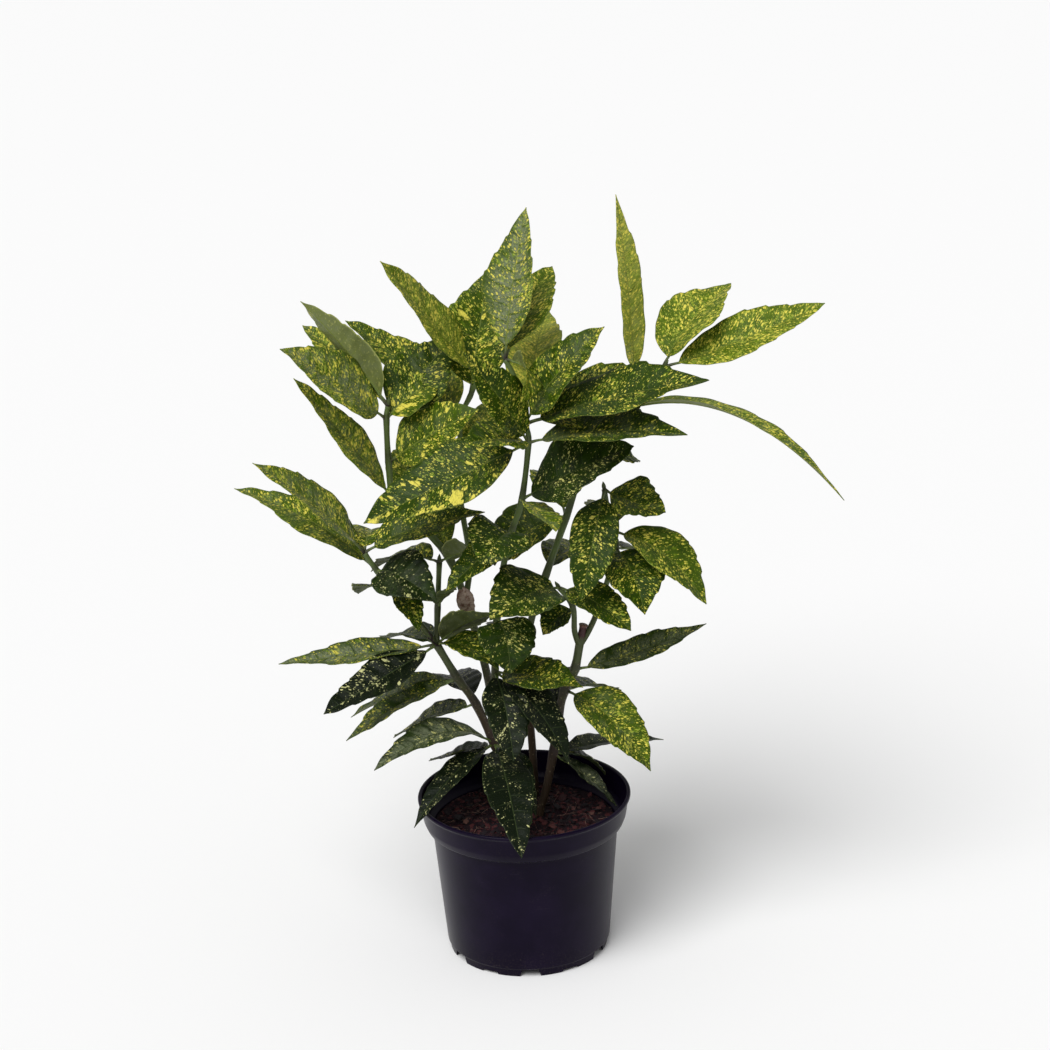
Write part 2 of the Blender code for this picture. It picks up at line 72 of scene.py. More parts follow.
leafyStems = {
    "leafy_stem_left": {
        "cane": (
            stem(
                ((-10, 30, 75), (-10, 30, 120), (-15, 25, 155), (-25, 20, 185),
                    (-40, 18, 225), (-55, 12, 252), (-72, 8, 287)),
                (4.2, 3.2),
            ),
            (
                leaf(3, (-97, -53, 140), 30, 10, 0),
                leaf(3, (-4, -120, 140), 44, 14, 0),
                leaf(3, (10, -52, 145), 28, 12, 0),
                leaf(3, (-86, 60, 153), 32, 0, 0),
                leaf(3, (-130, -40, 190), 38, 24, 10),
                leaf(4, (-118, 72, 172), 42, 4, 10),
                leaf(5, (-155, 62, 198), 42, 6, 10),
                leaf(5, (-155, -10, 206), 35, 6, 5),
                leaf(6, (-170, -50, 249), 42, 0, 20),
                leaf(6, (-212, 10, 273), 36, 0, 14),
                leaf(6, (-125, 85, 262), 42, 8, 0),
                leaf(6, (-18, -45, 282), 44, 10, 0),
                leaf(6, (-20, -15, 322), 39, 6, -40),
                leaf(4, (-75, 125, 205), 42, 14, 0),
            ),
        ),
        "outer shoot": (
            stem(
                ((-72, 8, 287), (-90, 4, 315), (-108, 0, 342), (-120, -5, 362),
                    (-130, -8, 380)),
                (2.8, 2.2),
            ),
            (
                leaf(3, (-242, 30, 430), 51, 12, 15),
                leaf(4, (-215, -60, 480), 50, 6, 35),
                leaf(4, (-125, 70, 372), 39, 10, 0),
                leaf(2, (-142, 60, 318), 39, 6, 0),
                leaf(2, (-85, -38, 318), 26, 8, 0),
                leaf(4, (-25, -8, 413), 50, 8, 20),
                leaf(3, (-68, -50, 348), 53, 12, 30),
            ),
        ),
        "upright shoot": (
            stem(
                ((-72, 8, 287), (-70, 15, 318), (-67, 20, 359)),
                (2.8, 2.2),
            ),
            (
                leaf(2, (-18, -30, 372), 44, 10, -30),
                leaf(1, (-52, -15, 346), 23, 5, 0),
                leaf(2, (-130, 70, 335), 44, 10, 0),
            ),
        ),
    },
    "leafy_stem_centre": {
        "left shoot": (
            stem(
                ((-22, 54, 75), (-22, 54, 120), (-23, 50, 180), (-30, 45, 245),
                    (-46, 40, 315), (-58, 38, 355), (-82, 36, 388), (-104, 32, 414),
                    (-107, 30, 449), (-107, 28, 488), (-105, 28, 500)),
                (4.2, 2.2),
            ),
            (
                leaf(10, (-175, 35, 593), 52, 4, -45),
                leaf(10, (-178, 75, 562), 39, 4, 20),
                leaf(9, (-48, 70, 548), 58, 4, 40),
                leaf(9, (-190, -20, 566), 62, 4, 45),
                leaf(9, (-60, 45, 518), 46, 6, 30),
                leaf(8, (-27, 0, 502), 58, 4, 50),
                leaf(7, (-182, 0, 535), 39, 2, 45),
                leaf(7, (-70, 120, 430), 44, 14, 0),
                leaf(5, (-100, 130, 400), 42, 12, 0),
            ),
        ),
        "back shoot": (
            stem(
                ((-46, 40, 315), (-41, 58, 347), (-47, 60, 403), (-45, 60, 442),
                    (-44, 60, 477), (-35, 60, 497), (-27, 60, 514)),
                (2.8, 2.0),
            ),
            (
                leaf(5, (-14, 95, 602), 67, 4, 20),
                leaf(6, (-104, 0, 633), 48, 0, 55),
                leaf(4, (-142, 95, 560), 48, 8, 20),
                leaf(3, (-94, -15, 436), 44, 8, 30),
                leaf(3, (25, 130, 470), 49, 14, 0),
                leaf(4, (-105, 130, 520), 49, 12, 0),
            ),
        ),
        "middle shoot": (
            stem(
                ((-23, 50, 180), (-24, 25, 215), (-22, 5, 260), (-18, -10, 317),
                    (-11, -15, 366), (-3, -20, 398), (7, -20, 427), (14, -20, 477),
                    (12, -17, 493), (5, -12, 530), (-3, -8, 547)),
                (3.2, 2.0),
            ),
            (
                leaf(10, (19, 20, 670), 53, 4, 0),
                leaf(10, (40, 60, 610), 56, 6, 0),
                leaf(10, (9, -55, 523), 38, 14, -60),
                leaf(8, (80, -30, 578), 50, 8, 45),
                leaf(8, (163, -70, 540), 62, 6, 25),
                leaf(8, (147, -5, 528), 64, 0, 35),
                leaf(7, (144, -80, 497), 56, 8, 15),
                leaf(7, (-37, -70, 571), 46, 4, 85),
                leaf(7, (-38, -65, 492), 49, 4, 20),
                leaf(7, (-126, -60, 424), 64, 1, 35),
                leaf(6, (34, -78, 417), 36, 2, -20),
                leaf(6, (102, -40, 477), 68, 4, 35),
                leaf(5, (-30, -70, 388), 60, 8, 20),
                leaf(5, (-61, -45, 355), 36, 2, 20),
                leaf(3, (-8, -44, 278), 54, 12, 0),
                leaf(2, (54, -42, 262), 46, 4, 20),
                leaf(2, (-8, -60, 203), 42, 12, 0),
                leaf(2, (40, -55, 196), 44, 12, 0),
                leaf(8, (35, 110, 560), 49, 12, 0),
            ),
        ),
    },
    "leafy_stem_tall": {
        "cane": (
            stem(
                ((10, 50, 75), (10, 50, 120), (8, 44, 190), (5, 32, 250), (11, 20, 300),
                    (26, 20, 344), (45, 30, 393), (63, 35, 443), (81, 40, 482),
                    (107, 38, 505), (126, 33, 517), (132, 32, 525)),
                (3.8, 2.0),
            ),
            (
                leaf(9, (92, -20, 686), 31, 4, 120),
                leaf(11, (195, 80, 585), 68, 8, 0),
                leaf(11, (269, 20, 579), 53, -4, 30),
                leaf(8, (277, -50, 426), 37, 38, -10),
                leaf(6, (-34, 45, 348), 60, 8, 35),
                leaf(6, (28, 140, 402), 44, 12, 0),
                leaf(7, (112, 60, 432), 42, 8, 20),
                leaf(9, (130, 150, 468), 49, 12, 0),
                leaf(5, (70, 120, 330), 46, 14, 0),
                leaf(3, (-20, 130, 260), 44, 14, 0),
            ),
        ),
    },
    "leafy_stem_right": {
        "cane": (
            stem(
                ((14, 10, 75), (14, 10, 120), (19, 10, 140), (27, 10, 178), (33, 8, 215),
                    (39, 6, 240), (48, 0, 262), (53, 0, 286), (57, 0, 304)),
                (3.6, 3.8),
            ),
            (
                leaf(6, (166, 20, 293), 34, -5, 20),
                leaf(5, (111, -42, 181), 53, 16, 15),
                leaf(5, (92, 70, 203), 39, 8, 0),
                leaf(3, (130, 78, 158), 35, 4, 0),
                leaf(3, (74, 30, 146), 28, 8, 0),
                leaf(3, (82, -4, 131), 26, 4, 0),
                leaf(4, (20, 120, 215), 44, 14, 0),
            ),
        ),
        "right shoot": (
            stem(
                ((53, 0, 284), (62, 2, 298), (71, 5, 318), (87, 5, 371), (84, 5, 387),
                    (78, 0, 427)),
                (2.8, 2.0),
            ),
            (
                leaf(5, (129, -20, 411), 54, -2, 20),
                leaf(4, (162, -30, 330), 53, 16, 15),
                leaf(3, (108, -50, 330), 58, 10, 0),
                leaf(3, (130, 65, 326), 42, 8, 0),
                leaf(5, (54, -55, 347), 43, 12, 20),
                leaf(4, (85, 120, 370), 46, 12, 0),
            ),
        ),
        "left shoot": (
            stem(
                ((53, 0, 284), (49, -5, 300), (48, -10, 324), (37, -10, 342)),
                (2.8, 2.0),
            ),
            (
                leaf(3, (-24, -66, 336), 68, 10, 20),
                leaf(3, (96, -48, 315), 42, 8, 15),
                leaf(2, (21, -22, 304), 34, 4, 15),
            ),
        ),
    },
}


# How some leaves look, by shoot and place on it, as brightness, blotches and painted grey
# sheen, which stands in for reflected light; the brightness of the low leaves is partly painted
# shade. The others follow their height.
leafLooks = {
    "leafy_stem_centre middle shoot": {
        0: (0.54, 0.40, 0.95), 1: (0.66, 0.35, 0.10), 2: (0.62, 0.35, 0.30),
        3: (0.44, 0.25, 0.35), 4: (0.36, 0.40, 0.10), 5: (0.44, 0.20, 0.05),
        6: (0.36, 0.30, 0.35), 7: (0.38, 0.15, 0.00), 8: (0.44, 0.20, 0.20),
        9: (0.36, 0.85, 0.25), 10: (0.60, 0.20, 0.45), 11: (0.20, 0.25, 0.05),
        12: (0.28, 0.20, 0.05), 13: (0.34, 0.15, 0.05), 14: (0.24, 0.30, 0.05),
        15: (0.40, 0.35, 0.05), 16: (0.02, 0.35, 0.05), 17: (0.00, 0.30, 0.00),
    },
    "leafy_stem_centre back shoot": {
        0: (0.48, 0.75, 0.00), 1: (0.78, 0.45, 0.00), 2: (0.50, 0.45, 0.25),
        3: (0.22, 0.35, 0.10),
    },
    "leafy_stem_centre left shoot": {
        0: (0.66, 0.90, 0.10), 1: (0.60, 0.45, 0.40), 2: (0.36, 0.35, 0.35),
        3: (0.60, 0.45, 0.75), 4: (0.50, 0.90, 0.15), 5: (0.50, 0.60, 0.25),
        6: (0.72, 0.30, 0.50),
    },
    "leafy_stem_left cane": {
        0: (0.00, 0.25, 0.05), 1: (0.00, 0.40, 0.00), 2: (0.04, 0.30, 0.10),
        3: (0.10, 0.10, 0.20), 4: (0.16, 0.50, 0.75), 5: (0.22, 0.30, 0.70),
        6: (0.34, 0.25, 0.80), 7: (0.36, 0.20, 0.60), 8: (0.00, 0.70, 0.00),
        9: (0.40, 0.45, 0.85), 11: (0.36, 0.15, 0.15), 12: (0.34, 0.25, 1.00),
    },
    "leafy_stem_left outer shoot": {
        0: (0.58, 0.30, 0.45), 1: (0.60, 0.25, 0.60), 5: (0.40, 0.45, 0.30),
        6: (0.12, 0.30, 0.15),
    },
    "leafy_stem_left upright shoot": {
        0: (0.40, 0.15, 0.10),
    },
    "leafy_stem_tall cane": {
        0: (0.92, 0.25, 0.25), 1: (0.70, 0.45, 0.15), 2: (0.72, 0.45, 0.15),
        3: (0.68, 0.35, 0.45), 6: (0.40, 0.30, 0.30),
    },
    "leafy_stem_right cane": {
        0: (0.28, 0.15, 0.70), 1: (0.48, 0.10, 0.30), 2: (0.24, 0.20, 0.20),
        3: (0.10, 0.25, 0.30), 4: (0.12, 0.10, 0.20),
    },
    "leafy_stem_right right shoot": {
        0: (0.42, 0.30, 0.30), 1: (0.52, 0.35, 0.05), 2: (0.38, 0.20, 0.00),
        4: (0.32, 0.35, 0.00),
    },
    "leafy_stem_right left shoot": {
        0: (0.28, 0.30, 0.05), 1: (0.36, 0.45, 0.00),
    },
}


# small helpers for objects and shader nodes

def clamp(value, low=0.0, high=1.0):
    return max(low, min(high, value))


def smooth(low, high, value):
    share = clamp((value - low) / (high - low))
    return share * share * (3 - 2 * share)


def newPiece(name, bm, materials, node):
    mesh = bpy.data.meshes.new(name)
    bm.to_mesh(mesh)
    bm.free()
    for material in materials:
        mesh.materials.append(material)
    mesh.shade_smooth()
    piece = bpy.data.objects.new(name, mesh)
    bpy.context.scene.collection.objects.link(piece)
    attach(piece, "root")
    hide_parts(node)
    return piece


def newMaterial(name, **settings):
    material = bpy.data.materials.new(name)
    material.use_nodes = True
    shader = material.node_tree.nodes["Principled BSDF"]
    for socket, value in settings.items():
        shader.inputs[socket.replace("_", " ")].default_value = value
    return material, shader


def addNode(material, kind, inputs, **settings):
    made = material.node_tree.nodes.new(kind)
    for name, value in settings.items():
        setattr(made, name, value)
    for socket, value in inputs.items():
        if isinstance(value, bpy.types.NodeSocket):
            material.node_tree.links.new(value, made.inputs[socket])
        else:
            made.inputs[socket].default_value = value
    return made


def calc(material, operation, *values):
    made = addNode(material, "ShaderNodeMath", dict(enumerate(values)), operation=operation)
    return made.outputs[0]


def readVector(material, name):
    source = addNode(material, "ShaderNodeAttribute", {}, attribute_name=name)
    split = addNode(material, "ShaderNodeSeparateXYZ", {0: source.outputs["Vector"]})
    return split.outputs[0], split.outputs[1], split.outputs[2]


def joinVector(material, x, y, z):
    return addNode(material, "ShaderNodeCombineXYZ", {0: x, 1: y, 2: z}).outputs[0]


def ramp(material, value, low, high, start=0.0, end=1.0):
    inputs = {"Value": value, "From Min": low, "From Max": high, "To Min": start, "To Max": end}
    made = addNode(material, "ShaderNodeMapRange", inputs, interpolation_type="SMOOTHSTEP")
    return made.outputs[0]


def blend(material, share, first, second, mode="MIX"):
    made = addNode(material, "ShaderNodeMix", {}, data_type="RGBA", blend_type=mode)
    for socket, value in ((0, share), (6, first), (7, second)):
        if isinstance(value, bpy.types.NodeSocket):
            material.node_tree.links.new(value, made.inputs[socket])
        elif socket == 0:
            made.inputs[socket].default_value = value
        else:
            made.inputs[socket].default_value = (*value, 1.0)
    return made.outputs[2]


def noiseAt(material, place, scale, detail=3.0, roughness=0.55):
    inputs = {"Vector": place, "Scale": scale, "Detail": detail, "Roughness": roughness}
    return addNode(material, "ShaderNodeTexNoise", inputs).outputs[0]


def cellsAt(material, place, scale, feature="F1", outputs=("Distance", "Color")):
    inputs = {"Vector": place, "Scale": scale}
    made = addNode(material, "ShaderNodeTexVoronoi", inputs, feature=feature)
    return [made.outputs[name] for name in outputs]


def bumpOn(material, shader, height, strength, distance):
    inputs = {"Height": height, "Strength": strength, "Distance": distance * mm}
    made = addNode(material, "ShaderNodeBump", inputs)
    material.node_tree.links.new(made.outputs[0], shader.inputs["Normal"])


def feed(material, shader, socket, value):
    material.node_tree.links.new(value, shader.inputs[socket])


# leaf finishes: three vectors on each vertex say where it lies on its leaf.
# leafPlace holds the way along and across in millimetres and the leaf's own number,
# leafForm the count of side veins passed, the share out to the margin and the share along,
# leafTone how bright the leaf is, which on the low leaves is partly painted shade, how
# blotched it is and how much painted grey sheen, standing in for reflected light, dulls it.

leafColours = {
    # near black: the dark green of old leaves, deepened into painted shade for the low inner
    # leaves
    "darkGreenAndShade": (0.0045, 0.0085, 0.0028),
    "deep": (0.020, 0.044, 0.0012),
    "bright": (0.072, 0.122, 0.0040),
    "pale": (0.290, 0.335, 0.050),
    "dapple": (0.135, 0.215, 0.008),
    "fleck": (0.430, 0.500, 0.060),
    "blotch": (0.740, 0.650, 0.095),
    "creamFleck": (0.560, 0.560, 0.250),
    "vein": (0.170, 0.210, 0.035),
    # dark green of the lines on dim leaves; on the tops it is also the painted shade in the
    # grooves of the side veins
    "darkVeinAndGrooveShade": (0.038, 0.055, 0.018),
    # grey of the painted sheen that stands in for light reflected off the glossy tops; the
    # undersides take it in clouds as a tint
    "greyTintAndSheen": (0.180, 0.205, 0.120),
    "stalk": (0.085, 0.130, 0.028),
    "stalkLight": (0.160, 0.210, 0.055),
    "stalkFoot": (0.020, 0.010, 0.014),
    "under": (0.170, 0.200, 0.055),
    "underDark": (0.040, 0.056, 0.020),
    "underFleck": (0.420, 0.430, 0.130),
    "dappleSize": 2.7,
    "speckSize": 1.55,
    "blotchSize": 4.8,
    "patchSize": 13.0,
    "veinAngle": 52,
    "stretch": 0.50,
}


def speckPlace(material, along, across, number):
    # across side veins and, stretched, along them, so that the specks run with the veins
    angle = math.radians(leafColours["veinAngle"])
    side = calc(material, "SIGN", across)
    out = calc(material, "ABSOLUTE", across)
    over = calc(material, "SUBTRACT", calc(material, "MULTIPLY", along, math.sin(angle)),
                calc(material, "MULTIPLY", out, math.cos(angle)))
    stretch = leafColours["stretch"]
    down = calc(material, "ADD", calc(material, "MULTIPLY", along, stretch * math.cos(angle)),
                calc(material, "MULTIPLY", out, stretch * math.sin(angle)))
    layer = calc(material, "MULTIPLY_ADD", side, 31.0, calc(material, "MULTIPLY", number, 7.3))
    return joinVector(material, over, down, layer)


def specks(material, place, size, share, ragged, soft):
    # ragged flecks in a share of the cells, each with a size and a strength of its own
    wander = noiseAt(material, place, 1.7 / size, 3.0)
    distance, colour = cellsAt(material, place, 1.0 / size)
    split = addNode(material, "ShaderNodeSeparateColor", {0: colour})
    reach = calc(material, "SUBTRACT", calc(material, "ADD", split.outputs[0], share), 1.0)
    reach = calc(material, "MINIMUM", calc(material, "MULTIPLY", reach, 0.95), 0.56)
    uneven = calc(material, "MULTIPLY_ADD", wander, ragged, -0.5 * ragged)
    edge = calc(material, "SUBTRACT", reach, calc(material, "ADD", distance, uneven))
    return ramp(material, edge, -soft, soft), split.outputs[1]


def veinPhase(material, passed):
    # 0.5 on each side vein and 0 halfway between two
    part = calc(material, "FRACT", passed)
    return calc(material, "ABSOLUTE", calc(material, "SUBTRACT", part, 0.5))


def leafGreen(material, tone):
    look = leafColours
    # the green runs from near black, partly painted shade on the low leaves, to pale yellow-green
    green = blend(material, ramp(material, tone, 0.0, 0.36), look["darkGreenAndShade"], look["deep"])
    green = blend(material, ramp(material, tone, 0.32, 0.72), green, look["bright"])
    return blend(material, ramp(material, tone, 0.68, 1.05), green, look["pale"])


def leafTop():
    look = leafColours
    material, shader = newMaterial("speckled leaf", Specular_IOR_Level=0.11)
    along, across, number = readVector(material, "leafPlace")
    passed, outward, reach = readVector(material, "leafForm")
    bright, blotched, greyTintAndSheen = readVector(material, "leafTone")
    flat = joinVector(material, along, across, calc(material, "MULTIPLY", number, 11.7))
    place = speckPlace(material, along, across, number)

    cloud = noiseAt(material, flat, 0.05, 3.0)
    mottle = noiseAt(material, place, 0.22, 4.0, 0.65)
    tone = calc(material, "ADD", bright, calc(material, "MULTIPLY_ADD", cloud, 0.34, -0.17))
    tone = calc(material, "ADD", tone, calc(material, "MULTIPLY_ADD", mottle, 0.42, -0.21))
    green = leafGreen(material, tone)

    # painted sheen: grey streaks beside the midrib that stand in for light reflected off the
    # glossy leaf
    sheenNoise = calc(material, "MULTIPLY_ADD", greyTintAndSheen, 0.25, noiseAt(material, place, 0.09, 4.0))
    streaks = ramp(material, sheenNoise, 0.48, 0.72)
    inner = ramp(material, outward, 0.95, 0.35, 0.25, 1.0)
    phase = veinPhase(material, passed)
    between = ramp(material, phase, 0.5, 0.38, 0.25, 1.0)
    sheenBreakup = ramp(material, noiseAt(material, place, 0.8, 4.0, 0.7), 0.34, 0.58, 0.25, 1.0)
    sheen = calc(material, "MULTIPLY", calc(material, "MULTIPLY", greyTintAndSheen, streaks), inner)
    sheen = calc(material, "MULTIPLY", sheen, calc(material, "MULTIPLY", between, sheenBreakup))
    green = blend(material, sheen, green, look["greyTintAndSheen"])

    # dapples and flecks of four sizes; how close they lie changes over the leaf
    crowd = ramp(material, noiseAt(material, flat, 0.06, 2.0), 0.3, 0.7, -0.2, 0.2)
    share = calc(material, "ADD", calc(material, "MULTIPLY_ADD", bright, 0.62, 0.34), crowd)
    # brighter leaves show dapples and yellow flecks; on the dark ones, whose darkness is partly
    # painted shade, the flecks stay cream
    young = ramp(material, bright, 0.05, 0.4)
    dapple, strength = specks(material, place, look["dappleSize"], share, 1.0, 0.22)
    dapple = calc(material, "MULTIPLY", calc(material, "MULTIPLY", dapple, strength), young)
    colour = blend(material, calc(material, "MULTIPLY", dapple, 0.75), green, look["dapple"])

    # flecks fade under the painted sheen
    fade = calc(material, "MULTIPLY_ADD", sheen, -0.35, 1.0)
    small, strength = specks(material, place, look["speckSize"], share, 0.8, 0.08)
    fewer = calc(material, "MULTIPLY", share, 0.9)
    tiny = specks(material, place, look["speckSize"] * 0.52, fewer, 0.6, 0.10)[0]
    strength = ramp(material, strength, 0.0, 0.85, 0.55, 1.0)
    fine = calc(material, "MAXIMUM", calc(material, "MULTIPLY", small, strength),
                calc(material, "MULTIPLY", tiny, 0.55))
    fleck = blend(material, ramp(material, strength, 0.55, 1.0), look["fleck"], look["blotch"])
    fleck = blend(material, young, look["creamFleck"], fleck)
    colour = blend(material, calc(material, "MULTIPLY", fine, fade), colour, fleck)

    middle = calc(material, "SUBTRACT", 1.0, outward)
    few = calc(material, "ADD", calc(material, "MULTIPLY_ADD", blotched, 0.5, -0.04),
               calc(material, "MULTIPLY", middle, 0.10))
    few = calc(material, "ADD", few, crowd)
    blotch = specks(material, place, look["blotchSize"], few, 1.0, 0.07)[0]
    broad = calc(material, "SUBTRACT", calc(material, "MULTIPLY", blotched, 0.7), 0.22)
    patch = specks(material, place, look["patchSize"], broad, 1.1, 0.06)[0]
    large = calc(material, "MAXIMUM", blotch, patch)
    grainy = ramp(material, noiseAt(material, place, 0.9, 3.0), 0.30, 0.55, 0.45, 1.0)
    large = calc(material, "MULTIPLY", calc(material, "MULTIPLY", large, grainy), fade)
    yellow = blend(material, young, look["creamFleck"], look["blotch"])
    colour = blend(material, large, colour, yellow)

    # sunken side veins get dark lines of painted shade for their grooves, then the midrib and the
    # thin pale margin
    veinLine = calc(material, "MULTIPLY", ramp(material, phase, 0.45, 0.5),
                    ramp(material, outward, 0.95, 0.25, 0.0, 0.6))
    colour = blend(material, calc(material, "MULTIPLY", veinLine, 0.8), colour, look["darkVeinAndGrooveShade"])
    rib = calc(material, "ABSOLUTE", across)
    ribWidth = calc(material, "MULTIPLY_ADD", reach, -0.6, 0.95)
    ribLine = ramp(material, calc(material, "DIVIDE", rib, ribWidth), 1.0, 0.5, 0.0, 0.75)
    margin = ramp(material, outward, 0.95, 0.985, 0.0, 0.6)
    lines = calc(material, "MAXIMUM", ribLine, margin)
    lineColour = blend(material, ramp(material, bright, 0.1, 0.6), look["darkVeinAndGrooveShade"], look["vein"])
    colour = blend(material, lines, colour, lineColour)
    feed(material, shader, "Base Color", colour)

    net, = cellsAt(material, flat, 0.42, "DISTANCE_TO_EDGE", ("Distance",))
    grain = calc(material, "ADD", ramp(material, net, 0.0, 0.12, 0.0, 0.5),
                 calc(material, "MULTIPLY", noiseAt(material, flat, 1.6, 3.0), 0.5))
    grain = calc(material, "SUBTRACT", grain, calc(material, "MULTIPLY", veinLine, 2.0))
    bumpOn(material, shader, grain, 0.5, 0.4)
    gloss = calc(material, "MULTIPLY_ADD", noiseAt(material, flat, 0.12, 4.0), 0.22, 0.27)
    feed(material, shader, "Roughness", calc(material, "MULTIPLY_ADD", sheen, 0.25, gloss))
    return material


def leafUnder():
    look = leafColours
    material, shader = newMaterial("leaf underside", Specular_IOR_Level=0.12)
    along, across, number = readVector(material, "leafPlace")
    passed, outward, reach = readVector(material, "leafForm")
    bright, blotched = readVector(material, "leafTone")[:2]
    flat = joinVector(material, along, across, calc(material, "MULTIPLY", number, 11.7))
    place = speckPlace(material, along, across, number)
    # the underside follows the same brightness, so it is darker on the low leaves, partly as
    # painted shade
    green = blend(material, ramp(material, bright, 0.1, 0.8), look["underDark"], look["under"])
    cloud = noiseAt(material, flat, 0.08, 4.0)
    # clouds of the same grey tint the underside
    green = blend(material, ramp(material, cloud, 0.35, 0.7, 0.0, 0.4), green, look["greyTintAndSheen"])
    share = calc(material, "MULTIPLY_ADD", bright, 0.5, 0.2)
    faint, strength = specks(material, place, look["speckSize"] * 0.8, share, 1.1, 0.12)
    faint = calc(material, "MULTIPLY", faint, ramp(material, strength, 0.0, 1.0, 0.3, 1.0))
    few = calc(material, "MULTIPLY", blotched, 0.45)
    blotch = specks(material, place, look["blotchSize"], few, 1.2, 0.1)[0]
    broad = calc(material, "MULTIPLY", blotched, 0.55)
    patch = specks(material, place, look["patchSize"], broad, 1.2, 0.08)[0]
    edge = ramp(material, outward, 0.93, 0.98)
    pale = calc(material, "MAXIMUM", calc(material, "MAXIMUM", faint, blotch),
                calc(material, "MAXIMUM", patch, edge))
    colour = blend(material, calc(material, "MULTIPLY", pale, 0.6), green, look["underFleck"])
    rib = calc(material, "ABSOLUTE", across)
    ribWidth = calc(material, "MULTIPLY_ADD", reach, -0.7, 1.4)
    ribLine = ramp(material, calc(material, "DIVIDE", rib, ribWidth), 1.0, 0.6)
    phase = veinPhase(material, passed)
    veinLine = calc(material, "MULTIPLY", ramp(material, phase, 0.455, 0.5),
                    ramp(material, outward, 0.95, 0.3, 0.0, 0.6))
    lineColour = blend(material, ramp(material, bright, 0.1, 0.6), look["darkVeinAndGrooveShade"], look["vein"])
    colour = blend(material, calc(material, "MAXIMUM", ribLine, veinLine), colour, lineColour)
    feed(material, shader, "Base Color", colour)
    net, = cellsAt(material, flat, 0.45, "DISTANCE_TO_EDGE", ("Distance",))
    grain = calc(material, "ADD", ramp(material, net, 0.1, 0.0, 0.0, 0.6), veinLine)
    bumpOn(material, shader, grain, 0.4, 0.4)
    feed(material, shader, "Roughness", calc(material, "MULTIPLY_ADD", cloud, 0.2, 0.45))
    return material


def leafStalk():
    look = leafColours
    material, shader = newMaterial("leaf stalk", Specular_IOR_Level=0.4)
    along, across, number = readVector(material, "leafPlace")
    reach = readVector(material, "leafForm")[2]
    bright = readVector(material, "leafTone")[0]
    flat = joinVector(material, along, across, number)
    streak = noiseAt(material, flat, 0.5, 4.0)
    green = blend(material, ramp(material, streak, 0.3, 0.7), look["stalk"], look["stalkLight"])
    foot = calc(material, "MULTIPLY", ramp(material, reach, 0.45, 0.02),
                ramp(material, bright, 0.2, 0.5, 0.35, 0.95))
    colour = blend(material, foot, green, look["stalkFoot"])
    feed(material, shader, "Base Color", colour)
    bumpOn(material, shader, streak, 0.4, 0.3)
    feed(material, shader, "Roughness", calc(material, "MULTIPLY_ADD", streak, 0.2, 0.35))
    return material


# leaves

leafShape = {
    "rows": 56,
    "columns": (0.0, 0.05, 0.15, 0.37, 0.62, 0.86, 1.0),
    "veins": 8,
    "thickness": 0.6,
    "fold": 14,
    "stalkShare": 0.11,
    "rise": 0.80,
    "fall": (0.88, 1.14),
    "slender": {
        "leafy_stem_centre middle shoot 0": 1.08,
        "leafy_stem_left outer shoot 0": 1.15,
    },
    "teeth": ((0.55, 0.95), (0.68, 0.93), (0.80, 0.91)),
    "ripples": 7,
    "ripple": 0.4,
    "wander": 0.03,
    "lean": 0.10,
    "quilt": 0.42,
    "stalkSides": 8,
    "seed": 7,
}


def leafOutline(share, fall):
    # half width along the blade, as a share of its greatest, with a step at each tooth
    rise = leafShape["rise"]
    peak = rise / (rise + fall)
    width = (share / peak) ** rise * ((1 - share) / (1 - peak)) ** fall
    for tooth, cut in leafShape["teeth"]:
        if tooth < share < tooth + 0.09:
            width *= cut + (1 - cut) * smooth(tooth, tooth + 0.09, share)
        elif tooth - 0.04 < share <= tooth:
            width *= 1 + 0.35 * (1 - cut) * smooth(tooth - 0.04, tooth, share)
    return width


def leafCurve(base, tip, arch, face, share):
    crown = base.lerp(tip, 0.42) + face * 2 * arch
    point = base.lerp(crown, share).lerp(crown.lerp(tip, share), share)
    along = (crown - base).lerp(tip - crown, share)
    return point, along.normalized()


def leafFace(base, tip, turn):
    chord = (tip - base).normalized()
    face = Vector((0, 0, 1)) - chord * chord.z
    sense = 1 if chord.x >= 0 else -1
    return Matrix.Rotation(math.radians(sense * turn), 3, chord) @ face.normalized()


